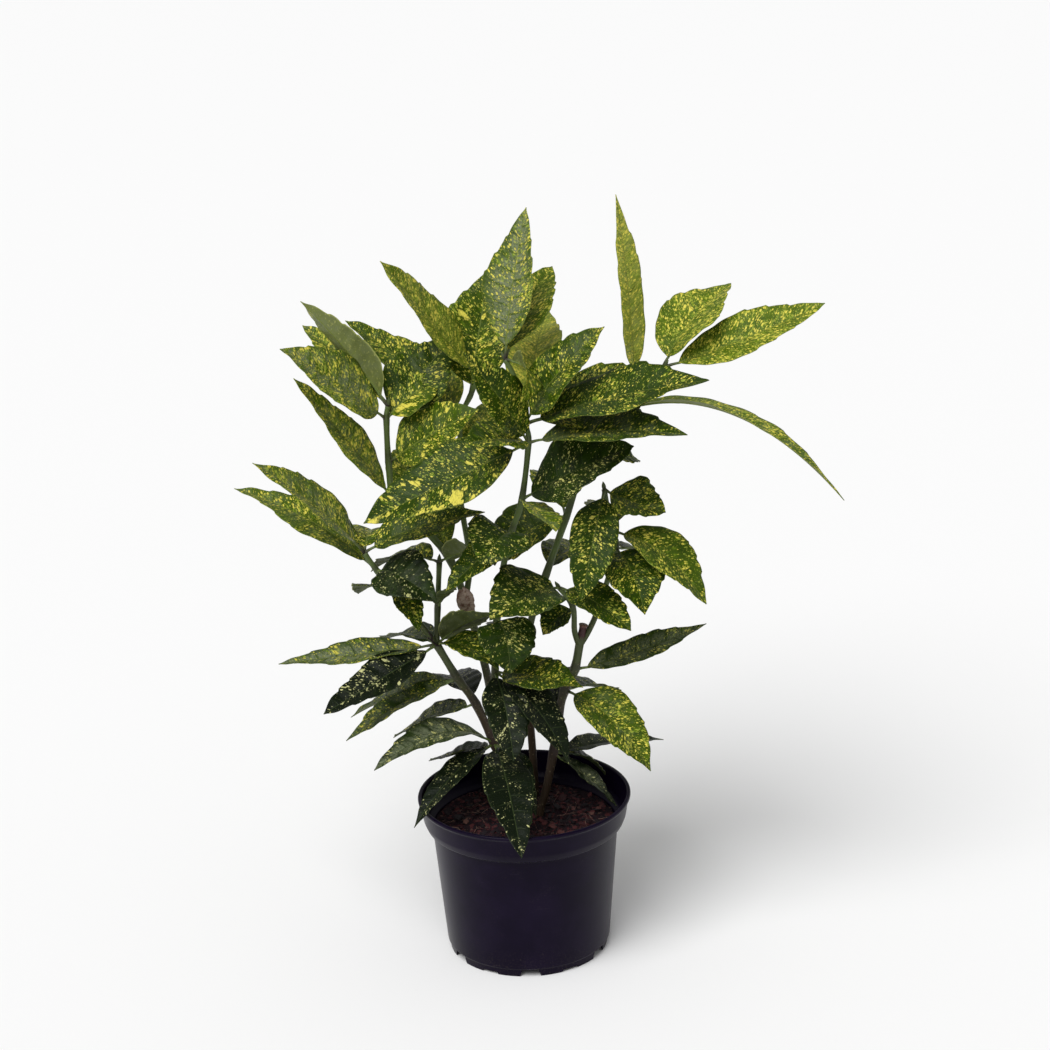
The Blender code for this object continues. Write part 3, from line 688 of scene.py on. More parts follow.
def growLeaf(bm, layers, base, blade, tone, number, rng, slender=None):
    shape = leafShape
    shapeRng = random.Random(number)
    tip = Vector(blade["tip"])
    face = leafFace(base, tip, blade["turn"])
    length = (tip - base).length
    wave = rng.uniform(0.02, 0.05) * blade["width"]
    phase = rng.uniform(0, 2 * math.pi)
    fall = slender or shapeRng.uniform(*shape["fall"])
    place, form, look = layers
    sides = [-c for c in reversed(shape["columns"][1:])] + list(shape["columns"])
    rows = shape["rows"]
    stalk = shape["stalkShare"]

    def surfacePoint(r, c, depth):
        out = abs(c)
        lean = shape["lean"] * out ** 1.5 * math.sin(math.pi * r) * (1 - 0.5 * r)
        share = clamp(r + lean, 0.0, 1.0)
        wander = 1 + shape["wander"] * math.sin(11 * share + 3 * phase + (c > 0)) * (c != 0)
        outline = leafOutline(clamp(share, 0.002, 0.999), fall)
        half = max(blade["width"] / 2 * outline * wander, 0.35)
        whole = stalk + (1 - stalk) * share
        point, along = leafCurve(base, tip, blade["arch"], face, whole)
        normal = (face - along * face.dot(along)).normalized()
        fold = math.radians(shape["fold"])
        full = smooth(1.0, 6.0, half)
        ripple = wave * math.sin(4 * math.pi * whole + phase + (c > 0) - (c < 0)) * full
        turns = 2 * math.pi * shape["ripples"] * whole
        ripple += shape["ripple"] * math.sin(turns + 2 * phase + c) * full
        lift = half * math.sin(fold) * out * (1.22 - 0.22 * out) + ripple * out ** 1.6
        counted = r * shape["veins"] + (0.5 if c > 0 else 0.0)
        quilt = -math.cos(2 * math.pi * (counted - 0.5)) * out * (1 - out) * 4 * shape["quilt"]
        lift += quilt * full
        thick = shape["thickness"] / 2 * (1 - 0.6 * out ** 4)
        rib = max(0.0, 1 - out / 0.13)
        if depth < 0:
            thick += rib * 1.0 * (1.05 - r)
        else:
            thick -= rib * 0.28 * (1.05 - r)
        side = normal.cross(along) * c * half * math.cos(fold)
        spot = (point + side + normal * (lift + depth * thick)) * mm
        return spot, (whole * length, c * half, number), (counted, out, share)

    sheets = []
    for depth in (1, -1):
        sheet = []
        for i in range(rows + 1):
            line = []
            for c in sides:
                spot, lies, formed = surfacePoint(i / rows, c, depth)
                vert = bm.verts.new(spot)
                vert[place] = lies
                vert[form] = formed
                vert[look] = tone
                line.append(vert)
            sheet.append(line)
        sheets.append(sheet)
    top, under = sheets
    last = len(sides) - 1
    for i in range(rows):
        for j in range(last):
            near, far = top[i], top[i + 1]
            bm.faces.new((near[j], near[j + 1], far[j + 1], far[j])).material_index = 0
            near, far = under[i], under[i + 1]
            bm.faces.new((near[j], far[j], far[j + 1], near[j + 1])).material_index = 1
        for j in (0, last):
            ring = (top[i][j], top[i + 1][j], under[i + 1][j], under[i][j])
            bm.faces.new(ring if j == 0 else ring[::-1]).material_index = 0
    for i in (0, rows):
        for j in range(last):
            ring = (top[i][j], under[i][j], under[i][j + 1], top[i][j + 1])
            bm.faces.new(ring if i == 0 else ring[::-1]).material_index = 0

    # the stalk runs on under the blade as its midrib
    sidesRound = shape["stalkSides"]
    rings = []
    steps = 14
    for i in range(steps + 1):
        share = i / steps
        whole = share * (stalk + 0.20)
        point, along = leafCurve(base, tip, blade["arch"], face, whole)
        normal = (face - along * face.dot(along)).normalized()
        sideways = normal.cross(along)
        size = 1.75 - 0.55 * smooth(0.0, 0.3, share) - 0.75 * smooth(0.3, 1.0, share)
        sink = 0.9 * smooth(0.2, 0.45, share)
        ring = []
        for k in range(sidesRound):
            angle = 2 * math.pi * k / sidesRound
            spot = point + sideways * math.cos(angle) * size
            spot = spot + normal * (math.sin(angle) * size * 0.9 - sink)
            vert = bm.verts.new(spot * mm)
            vert[place] = (whole * length, size * angle, number)
            vert[form] = (0, 0, share)
            vert[look] = tone
            ring.append(vert)
        rings.append(ring)
    closeTube(bm, rings, 2)


def closeTube(bm, rings, index):
    count = len(rings[0])
    for low, high in zip(rings, rings[1:]):
        for k in range(count):
            n = (k + 1) % count
            bm.faces.new((low[k], high[k], high[n], low[n])).material_index = index
    bm.faces.new(rings[0]).material_index = index
    bm.faces.new(rings[-1][::-1]).material_index = index


def leafTones(blade, base, rng):
    # higher leaves are brighter and more closely specked; lower ones are near black, partly their
    # own darker green and partly painted shade of the plant's crowded inside
    height = 0.5 * (base.z + blade["tip"][2])
    bright = smooth(170, 560, height) * 0.85 + rng.uniform(-0.08, 0.10)
    blotched = rng.uniform(0.0, 0.55) + 0.25 * smooth(300, 500, height)
    # how much painted grey sheen, standing in for reflected light, the leaf carries
    greyTintAndSheen = max(0.0, rng.uniform(-0.5, 0.55))
    return [clamp(bright), clamp(blotched), clamp(greyTintAndSheen)]


def newLeafLayers(bm):
    return [bm.verts.layers.float_vector.new(key) for key in ("leafPlace", "leafForm", "leafTone")]


def makeLeaves():
    materials = [leafTop(), leafUnder(), leafStalk()]
    number = 0
    for node, shoots in leafyStems.items():
        rng = random.Random(f"{leafShape['seed']} {node}")
        toneRng = random.Random(f"tones {node}")
        for name, (stem, blades) in shoots.items():
            bm = bmesh.new()
            layers = newLeafLayers(bm)
            for count, blade in enumerate(blades):
                base = Vector(stem["points"][blade["at"]])
                tone = leafTones(blade, base, toneRng)
                tone = leafLooks.get(f"{node} {name}", {}).get(count, tone)
                slender = leafShape["slender"].get(f"{node} {name} {count}")
                growLeaf(bm, layers, base, blade, tone, number, rng, slender)
                number += 1
            bmesh.ops.recalc_face_normals(bm, faces=bm.faces)
            newPiece(f"{node}_{name.replace(' ', '_')}_leaves", bm, materials, node)
    print("leaves:", number)


# one small leaf that has withered on its shoot
witheredLeaf = {
    "node": "leafy_stem_centre",
    "base": (-51, 39, 333),
    "blade": {"tip": (-40, 14, 304), "width": 17, "arch": -3, "turn": 40},
    "pale": (0.52, 0.40, 0.33),
    "dark": (0.20, 0.11, 0.08),
}


def dryLeaf():
    look = witheredLeaf
    material, shader = newMaterial("withered leaf", Specular_IOR_Level=0.2)
    along, across, number = readVector(material, "leafPlace")
    passed = readVector(material, "leafForm")[0]
    place = joinVector(material, along, across, number)
    stain = noiseAt(material, place, 0.25, 5.0, 0.65)
    colour = blend(material, ramp(material, stain, 0.40, 0.66), look["pale"], look["dark"])
    phase = veinPhase(material, passed)
    vein = ramp(material, phase, 0.44, 0.5, 0.0, 0.6)
    colour = blend(material, vein, colour, look["dark"])
    feed(material, shader, "Base Color", colour)
    bumpOn(material, shader, calc(material, "ADD", stain, vein), 0.7, 0.6)
    feed(material, shader, "Roughness", calc(material, "MULTIPLY_ADD", stain, 0.2, 0.6))
    return material


def makeWitheredLeaf():
    look = witheredLeaf
    bm = bmesh.new()
    layers = newLeafLayers(bm)
    tone, number = (0.5, 0.0, 0.0), 99
    growLeaf(bm, layers, Vector(look["base"]), look["blade"], tone, number, random.Random(1))
    bmesh.ops.recalc_face_normals(bm, faces=bm.faces)
    dry = dryLeaf()
    newPiece("withered_leaf", bm, [dry, dry, dry], look["node"])
    print("withered leaf done")


# stems

stemLook = {
    "sides": 14,
    "steps": 5,
    "swelling": 1.22,
    "young": (0.085, 0.125, 0.030),
    "ripe": (0.055, 0.070, 0.022),
    "woody": (0.050, 0.032, 0.018),
    "scar": (0.014, 0.006, 0.010),
    "stub": (0.050, 0.014, 0.014),
    "stubRim": (0.230, 0.120, 0.090),
    "furrow": (0.400, 0.380, 0.340),
    "lenticel": (0.170, 0.140, 0.080),
    "woodyBelow": 170,
    "youngAbove": 400,
    "budLength": 9,
}

# where a shoot doesn't end in a bud: it forks there, or was cut back once
stemEnds = {
    "leafy_stem_left cane": "fork",
    "leafy_stem_right cane": "stub",
}

# dry twigs left where small side shoots died back
deadTwigs = {
    "leafy_stem_left": (
        (((-71, 6, 286), (-75, -2, 294), (-76, -6, 301)), 1.0),
        (((-75, -2, 294), (-79, -6, 299)), 0.7),
        (((-76, -6, 301), (-78, -8, 305)), 0.8),
        (((-70, 4, 288), (-67, -5, 294), (-63, -8, 292)), 0.8),
    ),
    "leafy_stem_centre": (
        (((-24, 52, 150), (-16, 44, 158), (-10, 40, 156)), 0.8),
        (((-23, 50, 168), (-31, 42, 173)), 0.7),
    ),
}


def stemBark():
    look = stemLook
    material, shader = newMaterial("stem bark", Specular_IOR_Level=0.35)
    along, around, age = readVector(material, "stemPlace")
    ring, stub, rim = readVector(material, "stemForm")
    flat = joinVector(material, calc(material, "MULTIPLY", along, 0.25), around, age)
    fibre = noiseAt(material, flat, 0.9, 5.0, 0.65)
    colour = blend(material, ramp(material, age, 0.0, 0.5), look["young"], look["ripe"])
    worn = calc(material, "ADD", age, calc(material, "MULTIPLY_ADD", fibre, 0.5, -0.25))
    colour = blend(material, ramp(material, worn, 0.6, 0.95), colour, look["woody"])
    colour = blend(material, ramp(material, fibre, 0.5, 0.8, 0.0, 0.6), colour,
                   blend(material, 1.0, colour, look["furrow"], "MULTIPLY"))
    spot, = cellsAt(material, joinVector(material, along, around, 3.0), 0.28, "F1", ("Distance",))
    lenticel = calc(material, "MULTIPLY", ramp(material, spot, 0.26, 0.16),
                    ramp(material, age, 0.15, 0.5))
    colour = blend(material, calc(material, "MULTIPLY", lenticel, 0.65), colour, look["lenticel"])
    colour = blend(material, calc(material, "MULTIPLY", ring, 0.85), colour, look["scar"])
    colour = blend(material, stub, colour, look["stub"])
    colour = blend(material, rim, colour, look["stubRim"])
    feed(material, shader, "Base Color", colour)
    height = calc(material, "ADD", fibre, calc(material, "MULTIPLY", lenticel, 0.6))
    height = calc(material, "SUBTRACT", height, calc(material, "MULTIPLY", ring, 0.7))
    bumpOn(material, shader, height, 0.6, 0.5)
    feed(material, shader, "Roughness", calc(material, "MULTIPLY_ADD", fibre, 0.25, 0.38))
    return material


def throughPoints(points, steps):
    # a smooth run through the points, each with its distance from the root in points
    run = []
    count = len(points)
    for i in range(count - 1):
        before = points[max(i - 1, 0)]
        start, end = points[i], points[i + 1]
        after = points[min(i + 2, count - 1)]
        for k in range(steps):
            t = k / steps
            spot = 0.5 * (2 * start + (end - before) * t
                          + (2 * before - 5 * start + 4 * end - after) * t * t
                          + (3 * start - before - 3 * end + after) * t ** 3)
            run.append((spot, i + t))
    run.append((points[-1], count - 1.0))
    return run


def tubeAlong(bm, layers, run, radiusAt, sides, describe, index=0):
    rings = []
    sideways = None
    length = 0.0
    for i, (spot, where) in enumerate(run):
        ahead = run[min(i + 1, len(run) - 1)][0] - run[max(i - 1, 0)][0]
        ahead.normalize()
        if sideways is None:
            sideways = ahead.orthogonal().normalized()
        sideways = (sideways - ahead * sideways.dot(ahead)).normalized()
        across = ahead.cross(sideways)
        if i:
            length += (spot - run[i - 1][0]).length
        radius = radiusAt(where)
        ring = []
        for k in range(sides):
            angle = 2 * math.pi * k / sides
            uneven = 1 + 0.05 * math.sin(3 * angle + 0.05 * length)
            away = (sideways * math.cos(angle) + across * math.sin(angle)) * radius * uneven
            vert = bm.verts.new((spot + away) * mm)
            values = describe(spot, where, length, radius * angle)
            for layer, value in zip(layers, values):
                vert[layer] = value
            ring.append(vert)
        rings.append(ring)
    closeTube(bm, rings, index)


def stemAge(spot):
    return 1 - smooth(stemLook["woodyBelow"], stemLook["youngAbove"], spot.z)


def growStem(bm, layers, stem, nodesAt, ending):
    points = [Vector(p) for p in stem["points"]]
    low, high = stem["radius"]
    last = len(points) - 1

    def radiusAt(where):
        plain = low + (high - low) * where / last
        nearest = min((abs(where - n) for n in nodesAt), default=9)
        swollen = plain * (1 + (stemLook["swelling"] - 1) * math.exp(-(nearest * 4.5) ** 2))
        if ending == "stub":
            neck = 0.16 * smooth(last - 0.75, last - 0.45, where)
            swollen *= 1 - neck + 0.26 * smooth(last - 0.25, last, where)
        return swollen

    def describe(spot, where, length, around):
        nearest = min((abs(where - n - 0.12) for n in nodesAt), default=9)
        ring = math.exp(-(nearest * 9) ** 2)
        cut = smooth(last - 0.8, last - 0.6, where) if ending == "stub" else 0.0
        rim = smooth(last - 0.2, last - 0.1, where) if ending == "stub" else 0.0
        return (length, around, stemAge(spot)), (ring, cut, rim)

    run = throughPoints(points, stemLook["steps"])
    tubeAlong(bm, layers, run, radiusAt, stemLook["sides"], describe)


def growTwig(bm, layers, points, radius):
    run = throughPoints([Vector(p) for p in points], 4)

    def describe(spot, where, length, around):
        return (length, around, 1.0), (1.0, 0.0, 0.0)

    tubeAlong(bm, layers, run, lambda where: radius * (1 - 0.15 * where), 8, describe)


def growBud(bm, layers, foot, direction, size):
    # a pointed bud of two scales at the end of a shoot
    for turn in (0.0, 1.0):
        lean = Vector((0.25 - 0.5 * turn, 0.12, 0.0)) * size * 0.35
        run = []
        for i in range(7):
            t = i / 6
            run.append((foot + direction * size * (t - 0.12) + lean * t * (1 - t) * 2, t))

        def radiusAt(where):
            return size * 0.17 * max(0.06, math.sin(math.pi * (0.22 + 0.78 * where)))

        def describe(spot, where, length, around):
            return (length, around, 0.15), (1 - where, 0.0, 0.0)

        tubeAlong(bm, layers, run, radiusAt, 10, describe)


def makeStems():
    bark = stemBark()
    for node, shoots in leafyStems.items():
        bm = bmesh.new()
        layers = [bm.verts.layers.float_vector.new(key) for key in ("stemPlace", "stemForm")]
        for name, (stem, blades) in shoots.items():
            nodesAt = sorted({blade["at"] for blade in blades})
            ending = stemEnds.get(f"{node} {name}", "bud")
            growStem(bm, layers, stem, nodesAt, ending)
            points = [Vector(p) for p in stem["points"]]
            if ending == "bud":
                heading = (points[-1] - points[-2]).normalized()
                growBud(bm, layers, points[-1], heading, stemLook["budLength"])
        for points, radius in deadTwigs.get(node, ()):
            growTwig(bm, layers, points, radius)
        bmesh.ops.recalc_face_normals(bm, faces=bm.faces)
        newPiece(f"{node}_stems", bm, [bark], node)
    print("stems done")


# pot

potShape = {
    "height": 146.0,
    "rimRadius": 95.0,
    "rimDepth": 27.0,
    "rimTaper": 2.5,
    "lip": 1.8,
    "lipDepth": 2.6,
    "edge": 0.8,
    "shoulderHeight": 7.2,
    "shoulderStep": 2.6,
    "wallTopRadius": 83.0,
    "baseRadius": 73.5,
    "footRadius": 72.0,
    "footHeight": 8.0,
    "wall": 1.8,
    "panelRadius": 44.0,
    "steps": 144,
    "slots": 6,
    "slotSize": (19.0, 7.0),
    "notchSize": (17.0, 2.5),
    "slotDepth": 14.0,
    "slotNarrowing": 0.8,
    "softening": 1.2,
    "sharpAngle": 38,
    "colour": (0.0028, 0.0006, 0.0088),
    "worn": (0.0060, 0.0024, 0.0150),
    "scuff": (0.030, 0.022, 0.046),
    "dust": (0.080, 0.064, 0.055),
}


def potPlastic():
    look = potShape
    material, shader = newMaterial("pot plastic", Specular_IOR_Level=0.09)
    place = addNode(material, "ShaderNodeTexCoord", {}).outputs["Object"]
    split = addNode(material, "ShaderNodeSeparateXYZ", {0: place})
    height = split.outputs[2]
    cloud = noiseAt(material, place, 22.0, 5.0, 0.6)
    colour = blend(material, ramp(material, cloud, 0.35, 0.7), look["colour"], look["worn"])
    # fine scratches that run round the wall
    inputs = {"Vector": place, "Scale": (60.0, 60.0, 900.0)}
    stretched = addNode(material, "ShaderNodeMapping", inputs).outputs[0]
    scratch = ramp(material, noiseAt(material, stretched, 1.0, 4.0, 0.7), 0.60, 0.72, 0.0, 0.55)
    patch = ramp(material, noiseAt(material, place, 38.0, 3.0), 0.48, 0.68)
    colour = blend(material, calc(material, "MULTIPLY", scratch, patch), colour, look["scuff"])
    speck = noiseAt(material, place, 900.0, 2.0)
    low = ramp(material, height, 0.035, 0.0)
    dust = calc(material, "MULTIPLY", ramp(material, speck, 0.55, 0.75, 0.0, 0.5),
                calc(material, "MAXIMUM", low, calc(material, "MULTIPLY", patch, 0.35)))
    colour = blend(material, dust, colour, look["dust"])
    feed(material, shader, "Base Color", colour)
    grain = noiseAt(material, place, 1400.0, 2.0)
    bumpOn(material, shader, grain, 0.15, 0.12)
    rough = calc(material, "MULTIPLY_ADD", cloud, 0.16, 0.24)
    rough = calc(material, "MULTIPLY_ADD", dust, 0.5, rough)
    feed(material, shader, "Roughness", rough)
    return material


def potProfile():
    # from the middle of the floor out, up the inside and down the outside
    p = potShape
    top, wall, edge, step = p["height"], p["wall"], p["edge"], p["shoulderStep"]
    shoulder = top - p["rimDepth"]
    rimLow = p["rimRadius"] - p["rimTaper"] - p["lip"]
    rimInside = p["rimRadius"] - p["lip"] - wall
    floorTop = p["footHeight"] + wall

    def inner(height):
        share = (height - p["footHeight"]) / (shoulder - p["footHeight"])
        return p["baseRadius"] + (p["wallTopRadius"] - p["baseRadius"]) * share - wall

    return (
        (0.0, wall),
        (p["panelRadius"] - wall, wall),
        (p["panelRadius"], floorTop),
        (inner(floorTop), floorTop),
        (inner(shoulder), shoulder),
        (rimLow - wall - step, shoulder + step),
        (rimLow - wall, shoulder + p["shoulderHeight"]),
        (rimInside, top - edge),
        (rimInside + edge, top),
        (p["rimRadius"] - edge, top),
        (p["rimRadius"], top - edge),
        (p["rimRadius"], top - p["lipDepth"]),
        (p["rimRadius"] - p["lip"], top - p["lipDepth"] - p["lip"]),
        (rimLow, shoulder + p["shoulderHeight"]),
        (rimLow - step, shoulder + step - wall),
        (p["wallTopRadius"], shoulder - wall),
        (p["baseRadius"], p["footHeight"]),
        (p["footRadius"], p["footHeight"] - edge),
        (p["footRadius"] - edge, 0.0),
        (p["footRadius"] - wall, 0.0),
        (p["footRadius"] - wall, p["footHeight"]),
        (p["panelRadius"] + wall, p["footHeight"]),
        (p["panelRadius"], 0.0),
        (0.0, 0.0),
    )


def softened(profile, radius):
    # each corner becomes a small arc, as a moulded edge has
    run = [profile[0]]
    for before, corner, after in zip(profile, profile[1:], profile[2:]):
        b, c, a = Vector(before), Vector(corner), Vector(after)
        back = min(radius, (b - c).length * 0.4)
        ahead = min(radius, (a - c).length * 0.4)
        start = c + (b - c).normalized() * back
        end = c + (a - c).normalized() * ahead
        for i in range(4):
            t = i / 3
            run.append(tuple(start.lerp(c, t).lerp(c.lerp(end, t), t)))
    run.append(profile[-1])
    return run


def lathe(bm, profile, steps):
    rings = []
    for radius, height in profile:
        if radius < 0.01:
            rings.append([bm.verts.new((0, 0, height * mm))])
            continue
        ring = []
        for k in range(steps):
            angle = 2 * math.pi * k / steps
            spot = Vector((radius * math.cos(angle), radius * math.sin(angle), height))
            ring.append(bm.verts.new(spot * mm))
        rings.append(ring)
    for low, high in zip(rings, rings[1:]):
        for k in range(steps):
            n = (k + 1) % steps
            if len(low) == 1:
                bm.faces.new((low[0], high[n], high[k]))
            elif len(high) == 1:
                bm.faces.new((low[k], low[n], high[0]))
            else:
                bm.faces.new((low[k], low[n], high[n], high[k]))
    bmesh.ops.recalc_face_normals(bm, faces=bm.faces)


def makePot():
    p = potShape
    bm = bmesh.new()
    lathe(bm, softened(potProfile(), p["softening"]), p["steps"])
    pot = newPiece("pot_shell", bm, [potPlastic()], "pot")
    for index in range(2 * p["slots"]):
        width, height = p["notchSize"] if index % 2 else p["slotSize"]
        bm = bmesh.new()
        bmesh.ops.create_cube(bm, size=1.0)
        for vert in bm.verts:
            high = vert.co.z > 0
            vert.co.x = (p["footRadius"] + vert.co.x * p["slotDepth"]) * mm
            vert.co.y = vert.co.y * width * (p["slotNarrowing"] if high else 1.0) * mm
            vert.co.z = (height if high else -1.0) * mm  # starts 1 mm under the foot
        mesh = bpy.data.meshes.new(f"slot {index}")
        bm.to_mesh(mesh)
        bm.free()
        cutter = bpy.data.objects.new(f"slot_{index}", mesh)
        bpy.context.scene.collection.objects.link(cutter)
        cutter.rotation_euler.z = math.radians(-90 + index * 180 / p["slots"])
        cut = pot.modifiers.new(f"slot {index}", "BOOLEAN")
        cut.operation = "DIFFERENCE"
        cut.solver = "EXACT"
        cut.object = cutter
    bpy.context.view_layer.update()
    graph = bpy.context.evaluated_depsgraph_get()
    carved = bpy.data.meshes.new_from_object(pot.evaluated_get(graph))
    pot.modifiers.clear()
    pot.data = carved
    for index in range(2 * p["slots"]):
        bpy.data.objects.remove(bpy.data.objects[f"slot_{index}"])
    carved.set_sharp_from_angle(angle=math.radians(p["sharpAngle"]))
    print("pot done")


# soil with bark chips and pale fibres

soilShape = {
    "level": 118.0,
    "rings": 46,
    "sectors": 150,
    "relief": 2.2,
    "crumbs": 1.5,
    "highest": 2.6,
    "clearance": 0.3,
    "colour": (0.0055, 0.0022, 0.0050),
    "light": (0.0230, 0.0090, 0.0130),
    "redCrumb": (0.075, 0.016, 0.018),
    "tanCrumb": (0.130, 0.075, 0.060),
    "seed": 11,
}

chipLook = {
    "count": 620,
    "length": (2.5, 11.0),
    "dark": (0.008, 0.003, 0.006),
    "red": (0.085, 0.016, 0.018),
    "tan": (0.150, 0.070, 0.055),
    "furrow": (0.400, 0.350, 0.330),
    "seed": 5,
}

fibreLook = {
    "count": 34,
    "length": (10.0, 34.0),
    "radius": 0.28,
    "pieces": 9,
    "dark": (0.090, 0.040, 0.035),
    "pale": (0.240, 0.150, 0.120),
    "seed": 3,
}


def soilHeight(x, y):
    coarse = math.sin(0.11 * x + 1.3) * math.cos(0.13 * y - 0.4)
    fine = math.sin(0.31 * x + 0.23 * y) * math.cos(0.27 * y - 0.19 * x)
    rough = noise.noise(Vector((x * 0.22, y * 0.22, 1.0)))
    rough += 0.5 * noise.noise(Vector((x * 0.6, y * 0.6, 4.0)))
    reach = math.hypot(x, y) / soilRadius()
    calm = clamp(4 * (1 - reach))
    lift = soilShape["relief"] * (0.5 * coarse + 0.5 * fine) * calm + soilShape["crumbs"] * rough
    return soilShape["level"] + min(lift, soilShape["highest"])


def soilRadius(height=soilShape["level"]):
    # the inside of the pot's wall at this height, less the soil's clearance
    p = potShape
    shoulder = p["height"] - p["rimDepth"]
    share = (height - p["footHeight"]) / (shoulder - p["footHeight"])
    wallRadius = p["baseRadius"] + (p["wallTopRadius"] - p["baseRadius"]) * share
    return wallRadius - p["wall"] - soilShape["clearance"]


def soilMix():
    look = soilShape
    material, shader = newMaterial("soil mix", Specular_IOR_Level=0.2)
    place = addNode(material, "ShaderNodeTexCoord", {}).outputs["Object"]
    clod = noiseAt(material, place, 160.0, 6.0, 0.7)
    distance, colour = cellsAt(material, place, 420.0)
    split = addNode(material, "ShaderNodeSeparateColor", {0: colour})
    shade = blend(material, ramp(material, clod, 0.35, 0.7), look["colour"], look["light"])
    red = ramp(material, split.outputs[0], 0.7, 0.95, 0.0, 0.8)
    tan = ramp(material, split.outputs[1], 0.9, 0.97, 0.0, 0.6)
    shade = blend(material, red, shade, look["redCrumb"])
    shade = blend(material, tan, shade, look["tanCrumb"])
    feed(material, shader, "Base Color", shade)
    bump = calc(material, "ADD", clod, calc(material, "MULTIPLY", distance, 0.6))
    bumpOn(material, shader, bump, 0.9, 1.6)
    feed(material, shader, "Roughness", calc(material, "MULTIPLY_ADD", clod, 0.2, 0.75))
    return material


def barkChip():
    look = chipLook
    material, shader = newMaterial("bark chip", Specular_IOR_Level=0.3)
    tone = readVector(material, "chipTone")[0]
    place = addNode(material, "ShaderNodeTexCoord", {}).outputs["Object"]
    fibre = noiseAt(material, place, 500.0, 5.0, 0.65)
    colour = blend(material, ramp(material, tone, 0.35, 0.85), look["dark"], look["red"])
    colour = blend(material, ramp(material, tone, 0.90, 1.0), colour, look["tan"])
    colour = blend(material, ramp(material, fibre, 0.4, 0.7, 0.0, 0.6), colour,
                   blend(material, 1.0, colour, look["furrow"], "MULTIPLY"))
    feed(material, shader, "Base Color", colour)
    bumpOn(material, shader, fibre, 0.8, 0.8)
    feed(material, shader, "Roughness", calc(material, "MULTIPLY_ADD", fibre, 0.3, 0.5))
    return material


def makeSoil():
    s = soilShape
    bm = bmesh.new()
    radius = soilRadius()
    rings = [[bm.verts.new((0, 0, soilHeight(0, 0) * mm))]]
    for i in range(1, s["rings"] + 1):
        ring = []
        for k in range(s["sectors"]):
            angle = 2 * math.pi * (k + 0.5 * (i % 2)) / s["sectors"]
            x = radius * i / s["rings"] * math.cos(angle)
            y = radius * i / s["rings"] * math.sin(angle)
            ring.append(bm.verts.new((x * mm, y * mm, soilHeight(x, y) * mm)))
        rings.append(ring)
    for height in (80.0, 12.0):
        ring = []
        for k in range(s["sectors"]):
            angle = 2 * math.pi * (k + 0.5 * (s["rings"] % 2)) / s["sectors"]
            reach = soilRadius(height)
            spot = Vector((reach * math.cos(angle), reach * math.sin(angle), height))
            ring.append(bm.verts.new(spot * mm))
        rings.append(ring)
    for low, high in zip(rings, rings[1:]):
        for k in range(s["sectors"]):
            n = (k + 1) % s["sectors"]
            if len(low) == 1:
                bm.faces.new((low[0], high[k], high[n]))
            else:
                bm.faces.new((low[k], high[k], high[n], low[n]))
    bm.faces.new(rings[-1])
    bmesh.ops.recalc_face_normals(bm, faces=bm.faces)
    newPiece("soil_bed", bm, [soilMix()], "soil")
    print("soil bed done")


def makeChips():
    look = chipLook
    rng = random.Random(look["seed"])
    bm = bmesh.new()
    tones = bm.verts.layers.float_vector.new("chipTone")
    for number in range(look["count"]):
        reach = soilRadius() * math.sqrt(rng.random()) * 0.96
        angle = rng.uniform(0, 2 * math.pi)
        x, y = reach * math.cos(angle), reach * math.sin(angle)
        length = rng.uniform(*look["length"]) * rng.uniform(0.5, 1.0)
        width = length * rng.uniform(0.3, 0.75)
        thick = max(0.7, width * rng.uniform(0.2, 0.45))
        turn = Matrix.Rotation(rng.uniform(0, 2 * math.pi), 3, "Z")
        tilt = Matrix.Rotation(rng.uniform(-0.35, 0.35), 3, "X")
        tilt = tilt @ Matrix.Rotation(rng.uniform(-0.35, 0.35), 3, "Y")
        seat = Vector((x, y, soilHeight(x, y) + thick * 0.25))
        made = bmesh.ops.create_cube(bm, size=1.0)["verts"]
        edges = list({e for v in made for e in v.link_edges})
        bmesh.ops.subdivide_edges(bm, edges=edges, cuts=1, use_grid_fill=True)
        fresh = [v for v in bm.verts if not v[tones].z]
        tone = (rng.random(), rng.random(), number + 1.0)
        for vert in fresh:
            away = vert.co.copy()
            rounding = 1.0 / max(0.7, away.length * 1.6)
            away = Vector((away.x * length, away.y * width * rounding, away.z * thick * rounding))
            away *= rng.uniform(0.82, 1.12)
            away.z = min(away.z, thick * 0.6)
            vert.co = (seat + turn @ (tilt @ away)) * mm
            vert[tones] = tone
    bmesh.ops.recalc_face_normals(bm, faces=bm.faces)
    newPiece("bark_chips", bm, [barkChip()], "soil")
    bpy.data.objects["bark_chips"].data.shade_flat()
    print("bark chips:", look["count"])


def dryFibre():
    look = fibreLook
    material, shader = newMaterial("dry fibre", Specular_IOR_Level=0.25)
    place = addNode(material, "ShaderNodeTexCoord", {}).outputs["Object"]
    fleck = noiseAt(material, place, 300.0, 4.0)
    colour = blend(material, ramp(material, fleck, 0.3, 0.7), look["dark"], look["pale"])
    feed(material, shader, "Base Color", colour)
    bumpOn(material, shader, fleck, 0.5, 0.3)
    feed(material, shader, "Roughness", calc(material, "MULTIPLY_ADD", fleck, 0.2, 0.6))
    return material


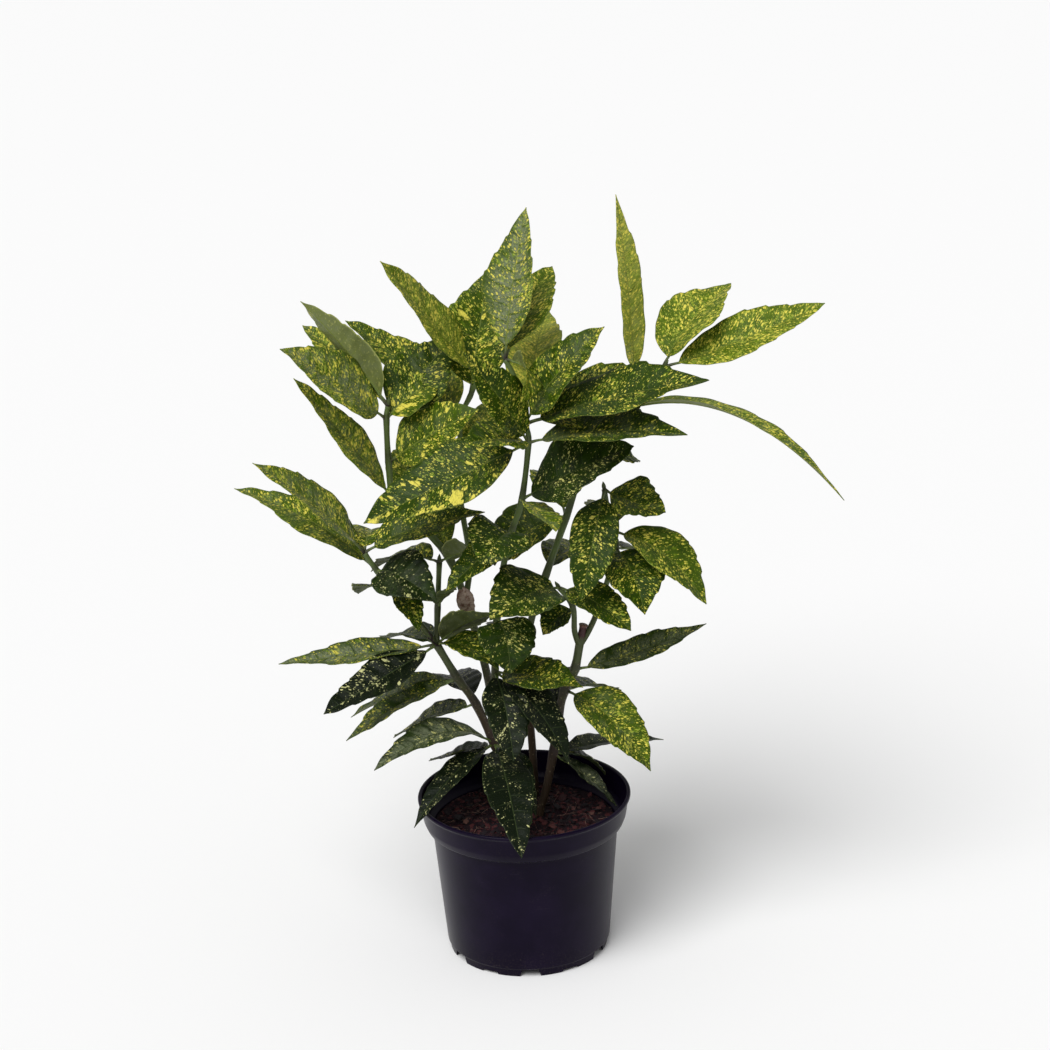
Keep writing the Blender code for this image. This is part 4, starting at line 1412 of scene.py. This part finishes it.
def makeFibres():
    look = fibreLook
    rng = random.Random(look["seed"])
    bm = bmesh.new()
    pieces = look["pieces"]
    for _ in range(look["count"]):
        reach = soilRadius() * math.sqrt(rng.random()) * 0.88
        angle = rng.uniform(0, 2 * math.pi)
        spot = Vector((reach * math.cos(angle), reach * math.sin(angle), 0))
        heading = rng.uniform(0, 2 * math.pi)
        run = []
        length = rng.uniform(*look["length"])
        for i in range(pieces):
            bow = 1.6 * math.sin(math.pi * i / (pieces - 1)) * rng.random()
            spot.z = soilHeight(spot.x, spot.y) + 0.5 + bow
            run.append((spot.copy(), i / (pieces - 1)))
            heading += rng.uniform(-0.5, 0.5)
            spot = spot + Vector((math.cos(heading), math.sin(heading), 0)) * length / pieces
            if spot.xy.length > soilRadius() * 0.97:
                break
        if len(run) > 3:
            tubeAlong(bm, (), run, lambda where: look["radius"] * (1.1 - 0.7 * where), 5,
                      lambda *described: ())
    bmesh.ops.recalc_face_normals(bm, faces=bm.faces)
    newPiece("soil_fibres", bm, [dryFibre()], "soil")
    print("rootlets:", look["count"])


# floor, light and camera

studio = {
    "floorSize": 40.0,
    "floorColour": (0.93, 0.93, 0.93),
    "world": (1.0, 1.0, 1.0),
    "worldStrength": 0.42,
    "sunStrength": 2.5,
    "sunSpread": 42,
    "sunFrom": (-0.9, -1.5, 2.3),
}

viewpoint = {
    "place": (0.0, -2.040, 1.084),
    "down": 18.6,
    "roll": -1.95,
    "aside": 0.25,
    "focalPixels": 2500.0,
    "photoPixels": 1050.0,
    "sensor": 36.0,
}


def makeStudio():
    bpy.ops.mesh.primitive_plane_add(size=studio["floorSize"])
    floor = bpy.context.object
    floor.name = "studio_floor"
    material, shader = newMaterial("studio floor", Roughness=0.85, Specular_IOR_Level=0.1)
    shader.inputs["Base Color"].default_value = (*studio["floorColour"], 1.0)
    floor.data.materials.append(material)
    world = bpy.data.worlds.new("studio")
    bpy.context.scene.world = world
    world.use_nodes = True
    ground = world.node_tree.nodes["Background"]
    ground.inputs["Color"].default_value = (*studio["world"], 1.0)
    ground.inputs["Strength"].default_value = studio["worldStrength"]
    light = bpy.data.lights.new("sun", "SUN")
    light.energy = studio["sunStrength"]
    light.angle = math.radians(studio["sunSpread"])
    sun = bpy.data.objects.new("sun", light)
    sun.rotation_euler = (-Vector(studio["sunFrom"])).to_track_quat("-Z", "Y").to_euler()
    bpy.context.scene.collection.objects.link(sun)
    bpy.context.scene.view_settings.view_transform = "Standard"
    print("studio done")


def makeCamera():
    v = viewpoint
    down, roll, aside = (math.radians(v[key]) for key in ("down", "roll", "aside"))
    ahead = Vector((math.sin(aside), math.cos(aside), 0)) * math.cos(down)
    ahead.z = -math.sin(down)
    level = Vector((math.cos(aside), -math.sin(aside), 0))
    above = level.cross(ahead)
    right = math.cos(roll) * level + math.sin(roll) * above
    above = math.cos(roll) * above - math.sin(roll) * level
    camera = bpy.data.cameras.new("camera")
    camera.sensor_width = v["sensor"]
    camera.lens = v["focalPixels"] / v["photoPixels"] * v["sensor"]
    camera.dof.use_dof = False
    eye = bpy.data.objects.new("camera", camera)
    turn = Matrix((right, above, -ahead)).transposed().to_4x4()
    eye.matrix_world = Matrix.Translation(v["place"]) @ turn
    bpy.context.scene.collection.objects.link(eye)
    bpy.context.scene.camera = eye
    print("camera done")


makeCamera()
makeStudio()
makePot()
makeSoil()
makeChips()
makeFibres()
makeStems()
makeLeaves()
makeWitheredLeaf()
